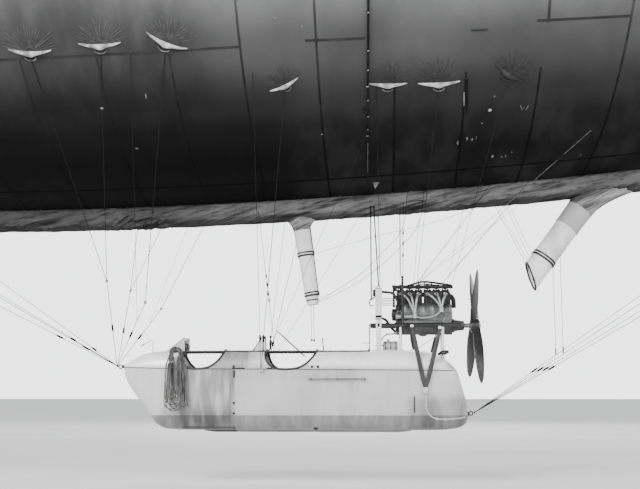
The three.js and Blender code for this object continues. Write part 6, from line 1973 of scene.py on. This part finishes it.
# round marks on the skin: x, degrees round, half width, half height
BRIGHT_SPOTS = ((-0.584, 37, 0.011, 0.011), (2.303, 32.2, 0.014, 0.014), (2.253, 29, 0.005, 0.005))
DIM_SPOTS = ((-0.241, 39.15, 0.005, 0.024), (-0.4, 27.3, 0.012, 0.009), (0.742, 52.4, 0.007, 0.007),
             (0.932, 50.8, 0.006, 0.006), (1.034, 28.8, 0.008, 0.006), (2.327, 35.4, 0.007, 0.007),
             (2.371, 18.5, 0.009, 0.024), (2.446, 18.0, 0.007, 0.01), (2.476, 18.2, 0.004, 0.024),
             (2.52, 19.4, 0.004, 0.01), (2.08, 24.0, 0.006, 0.03), (2.15, 25.0, 0.007, 0.02),
             (2.19, 24.6, 0.006, 0.02), (2.22, 25.1, 0.004, 0.02), (3.088, 15.9, 0.006, 0.006))
ZIGZAG = ((-0.03, 0.03), (-0.016, -0.016), (0.0, 0.012), (0.014, -0.018), (0.03, 0.026))


def make_marks():
    spots, dim = Shape(), Shape()
    for shape, marks in ((spots, BRIGHT_SPOTS), (dim, DIM_SPOTS)):
        for x, degrees, wide, tall in marks:
            ring = [skin(x + wide * math.cos(t), degrees + math.degrees(tall * math.sin(t) / girth(x)), 0.0022)
                    for t in turns(16)]
            shape.add(ring + [skin(x, degrees, 0.005)], [[k, (k + 1) % 16, 16] for k in range(16)])
    dim.tube([skin(2.56 + a, 32.1 + math.degrees(u / 2.35), 0.003) for a, u in ZIGZAG], 0.0035, 6)
    piece("skin_marks", dim.mirrored(), "thread")
    corners = [skin(x, degrees, 0.0025) for x, degrees in ((1.418, 11.4), (1.471, 11.2), (1.433, 7.5))]
    tab = Shape().add(corners + [skin(1.44, 10.1, 0.006)], [[0, 1, 3], [1, 2, 3], [2, 0, 3]])
    piece("skin_tab", tab.mirrored(), "tag")
    piece("skin_patches", spots.mirrored(), "flap")


# toggles on the control line: degrees round, length
TOGGLES = ((62, 0.013), (52.8, 0.013), (46.2, 0.013), (42.6, 0.014), (39.4, 0.02), (36.5, 0.013), (32.9, 0.013),
           (29.7, 0.012), (28.1, 0.018))


def make_control_line():
    """A control line down the port side of the skin, with toggles on it."""
    control, toggles = Shape(), Shape()

    def lead(degrees, lift=0.009):
        """The line leans a little aft as it climbs."""
        return skin(1.386 + 0.0006 * (degrees - 33), degrees, lift)

    control.tube([lead(d) for d in spread(100, 33.4, 50)], 0.0078, 8)
    control.tube([lead(d, 0.005) for d in spread(33.4, 5, 24)], 0.003, 6)
    piece("control_thread", Shape().tube([lead(d) for d in spread(25.7, 16.4, 10)], 0.0019, 6), "thread")
    for degrees, long in TOGGLES:
        at = skin(1.386 + 0.0006 * (degrees - 33) - 0.5 * (long - 0.013), degrees, 0.0185)
        half = 0.56 * long
        toggles.bead(at, (1, 0, 0.2), half, 0.002, half * 0.8, 0.0048, 12)
        control.ring(lead(degrees), (0, 0.6, -0.8), 0.0105, 0.003, around=14, sides=6)
    control.turned([(-0.002, 0.013), (0.006, 0.013), (0.009, 0.009)], skin(1.358, 34.3), skin(1.358, 34.3), 14)
    tape = Shape().tube([skin(2.124 + 0.121 * t, 48.85, 0.003) for t in spread(0, 1, 12)], 0.008, 6, squash=0.5)
    piece("skin_tape", tape, "tape")
    control.tube([skin(2.122 + 0.0024 * (36 - d), d, 0.005) for d in spread(32, 39.7, 12)], 0.007, 8)
    toggles.tube([skin(2.104, 33.8, 0.004), skin(2.098, 35.3, 0.02), skin(2.097, 36.8, 0.004)], 0.004, 8)
    piece("control_line", control, "dark_rope")
    piece("control_toggles", toggles, "tag")


def scoop_under(x):
    """The underside of the scoop's tube over a station."""
    (rx, rz), (mx, mz) = SCOOP["root"], SCOOP["mouth"]
    share = (x - rx) / (mx - rx)
    slope = math.atan2(abs(mz - rz), abs(mx - rx))
    return rz + (mz - rz) * share - SCOOP["radius"] / math.cos(slope) * 0.9


# Floor and light

LAMPS = (
    # name, place, size, power
    ("key", (-9, -15, 7), 8, 5200), ("fill", (12, -16, 1), 10, 1300), ("far_side", (2, 16, 6), 12, 2200),
)
LAMPS_AIM = (1, 0, -3)


def make_studio():
    edges = (-150, -30, 0, 30, 150)
    ground = Shape().grid([[(x, y, FLOOR) for x in edges] for y in edges])
    mesh = bpy.data.meshes.new("floor")
    mesh.from_pydata(ground.points, [], ground.faces)
    floor = bpy.data.objects.new("floor", mesh)
    bpy.context.collection.objects.link(floor)
    mesh.materials.append(Look("studio_floor", 0.66, 0.72, 0.7, 0.85, bump=0.05, depth=0.002).made)
    world = bpy.data.worlds.new("studio")
    bpy.context.scene.world = world
    world.use_nodes = True
    tree = world.node_tree
    place = add_node(tree, "TexCoord", {}).outputs["Generated"]
    height = add_node(tree, "SeparateXYZ", {"Vector": place}).outputs["Z"]
    # bright at the horizon, dimmer overhead
    tree.links.new(ranged(tree, height, 0.17, 0.6, 3.3, 0.75), tree.nodes["Background"].inputs["Strength"])
    tree.nodes["Background"].inputs["Color"].default_value = (0.97, 0.98, 1.0, 1)
    for name, place, size, power in LAMPS:
        lamp = bpy.data.lights.new(name, "AREA")
        lamp.energy = power
        lamp.size = size
        holder = bpy.data.objects.new(name, lamp)
        holder.location = place
        toward = Vector(LAMPS_AIM) - Vector(place)
        holder.rotation_euler = toward.to_track_quat("-Z", "Y").to_euler()
        bpy.context.collection.objects.link(holder)


for make in (
    make_camera, make_hank, make_envelope, make_patches, make_duct, make_sleeve, make_scoop, make_tail, make_nose,
    make_cowls, make_panels, make_straps, make_rivets, make_rims, make_skid, make_inside, make_seats, make_wheels,
    make_windscreens, make_bed, make_crankcase, make_cylinders, make_valve_gear, make_pipes, make_radiator, make_tank,
    make_struts, make_propeller, make_rails, make_eyes, make_side_fittings, make_deck_fittings, make_stays,
    make_wires, make_cords, make_marks, make_control_line, make_studio,
):
    make()
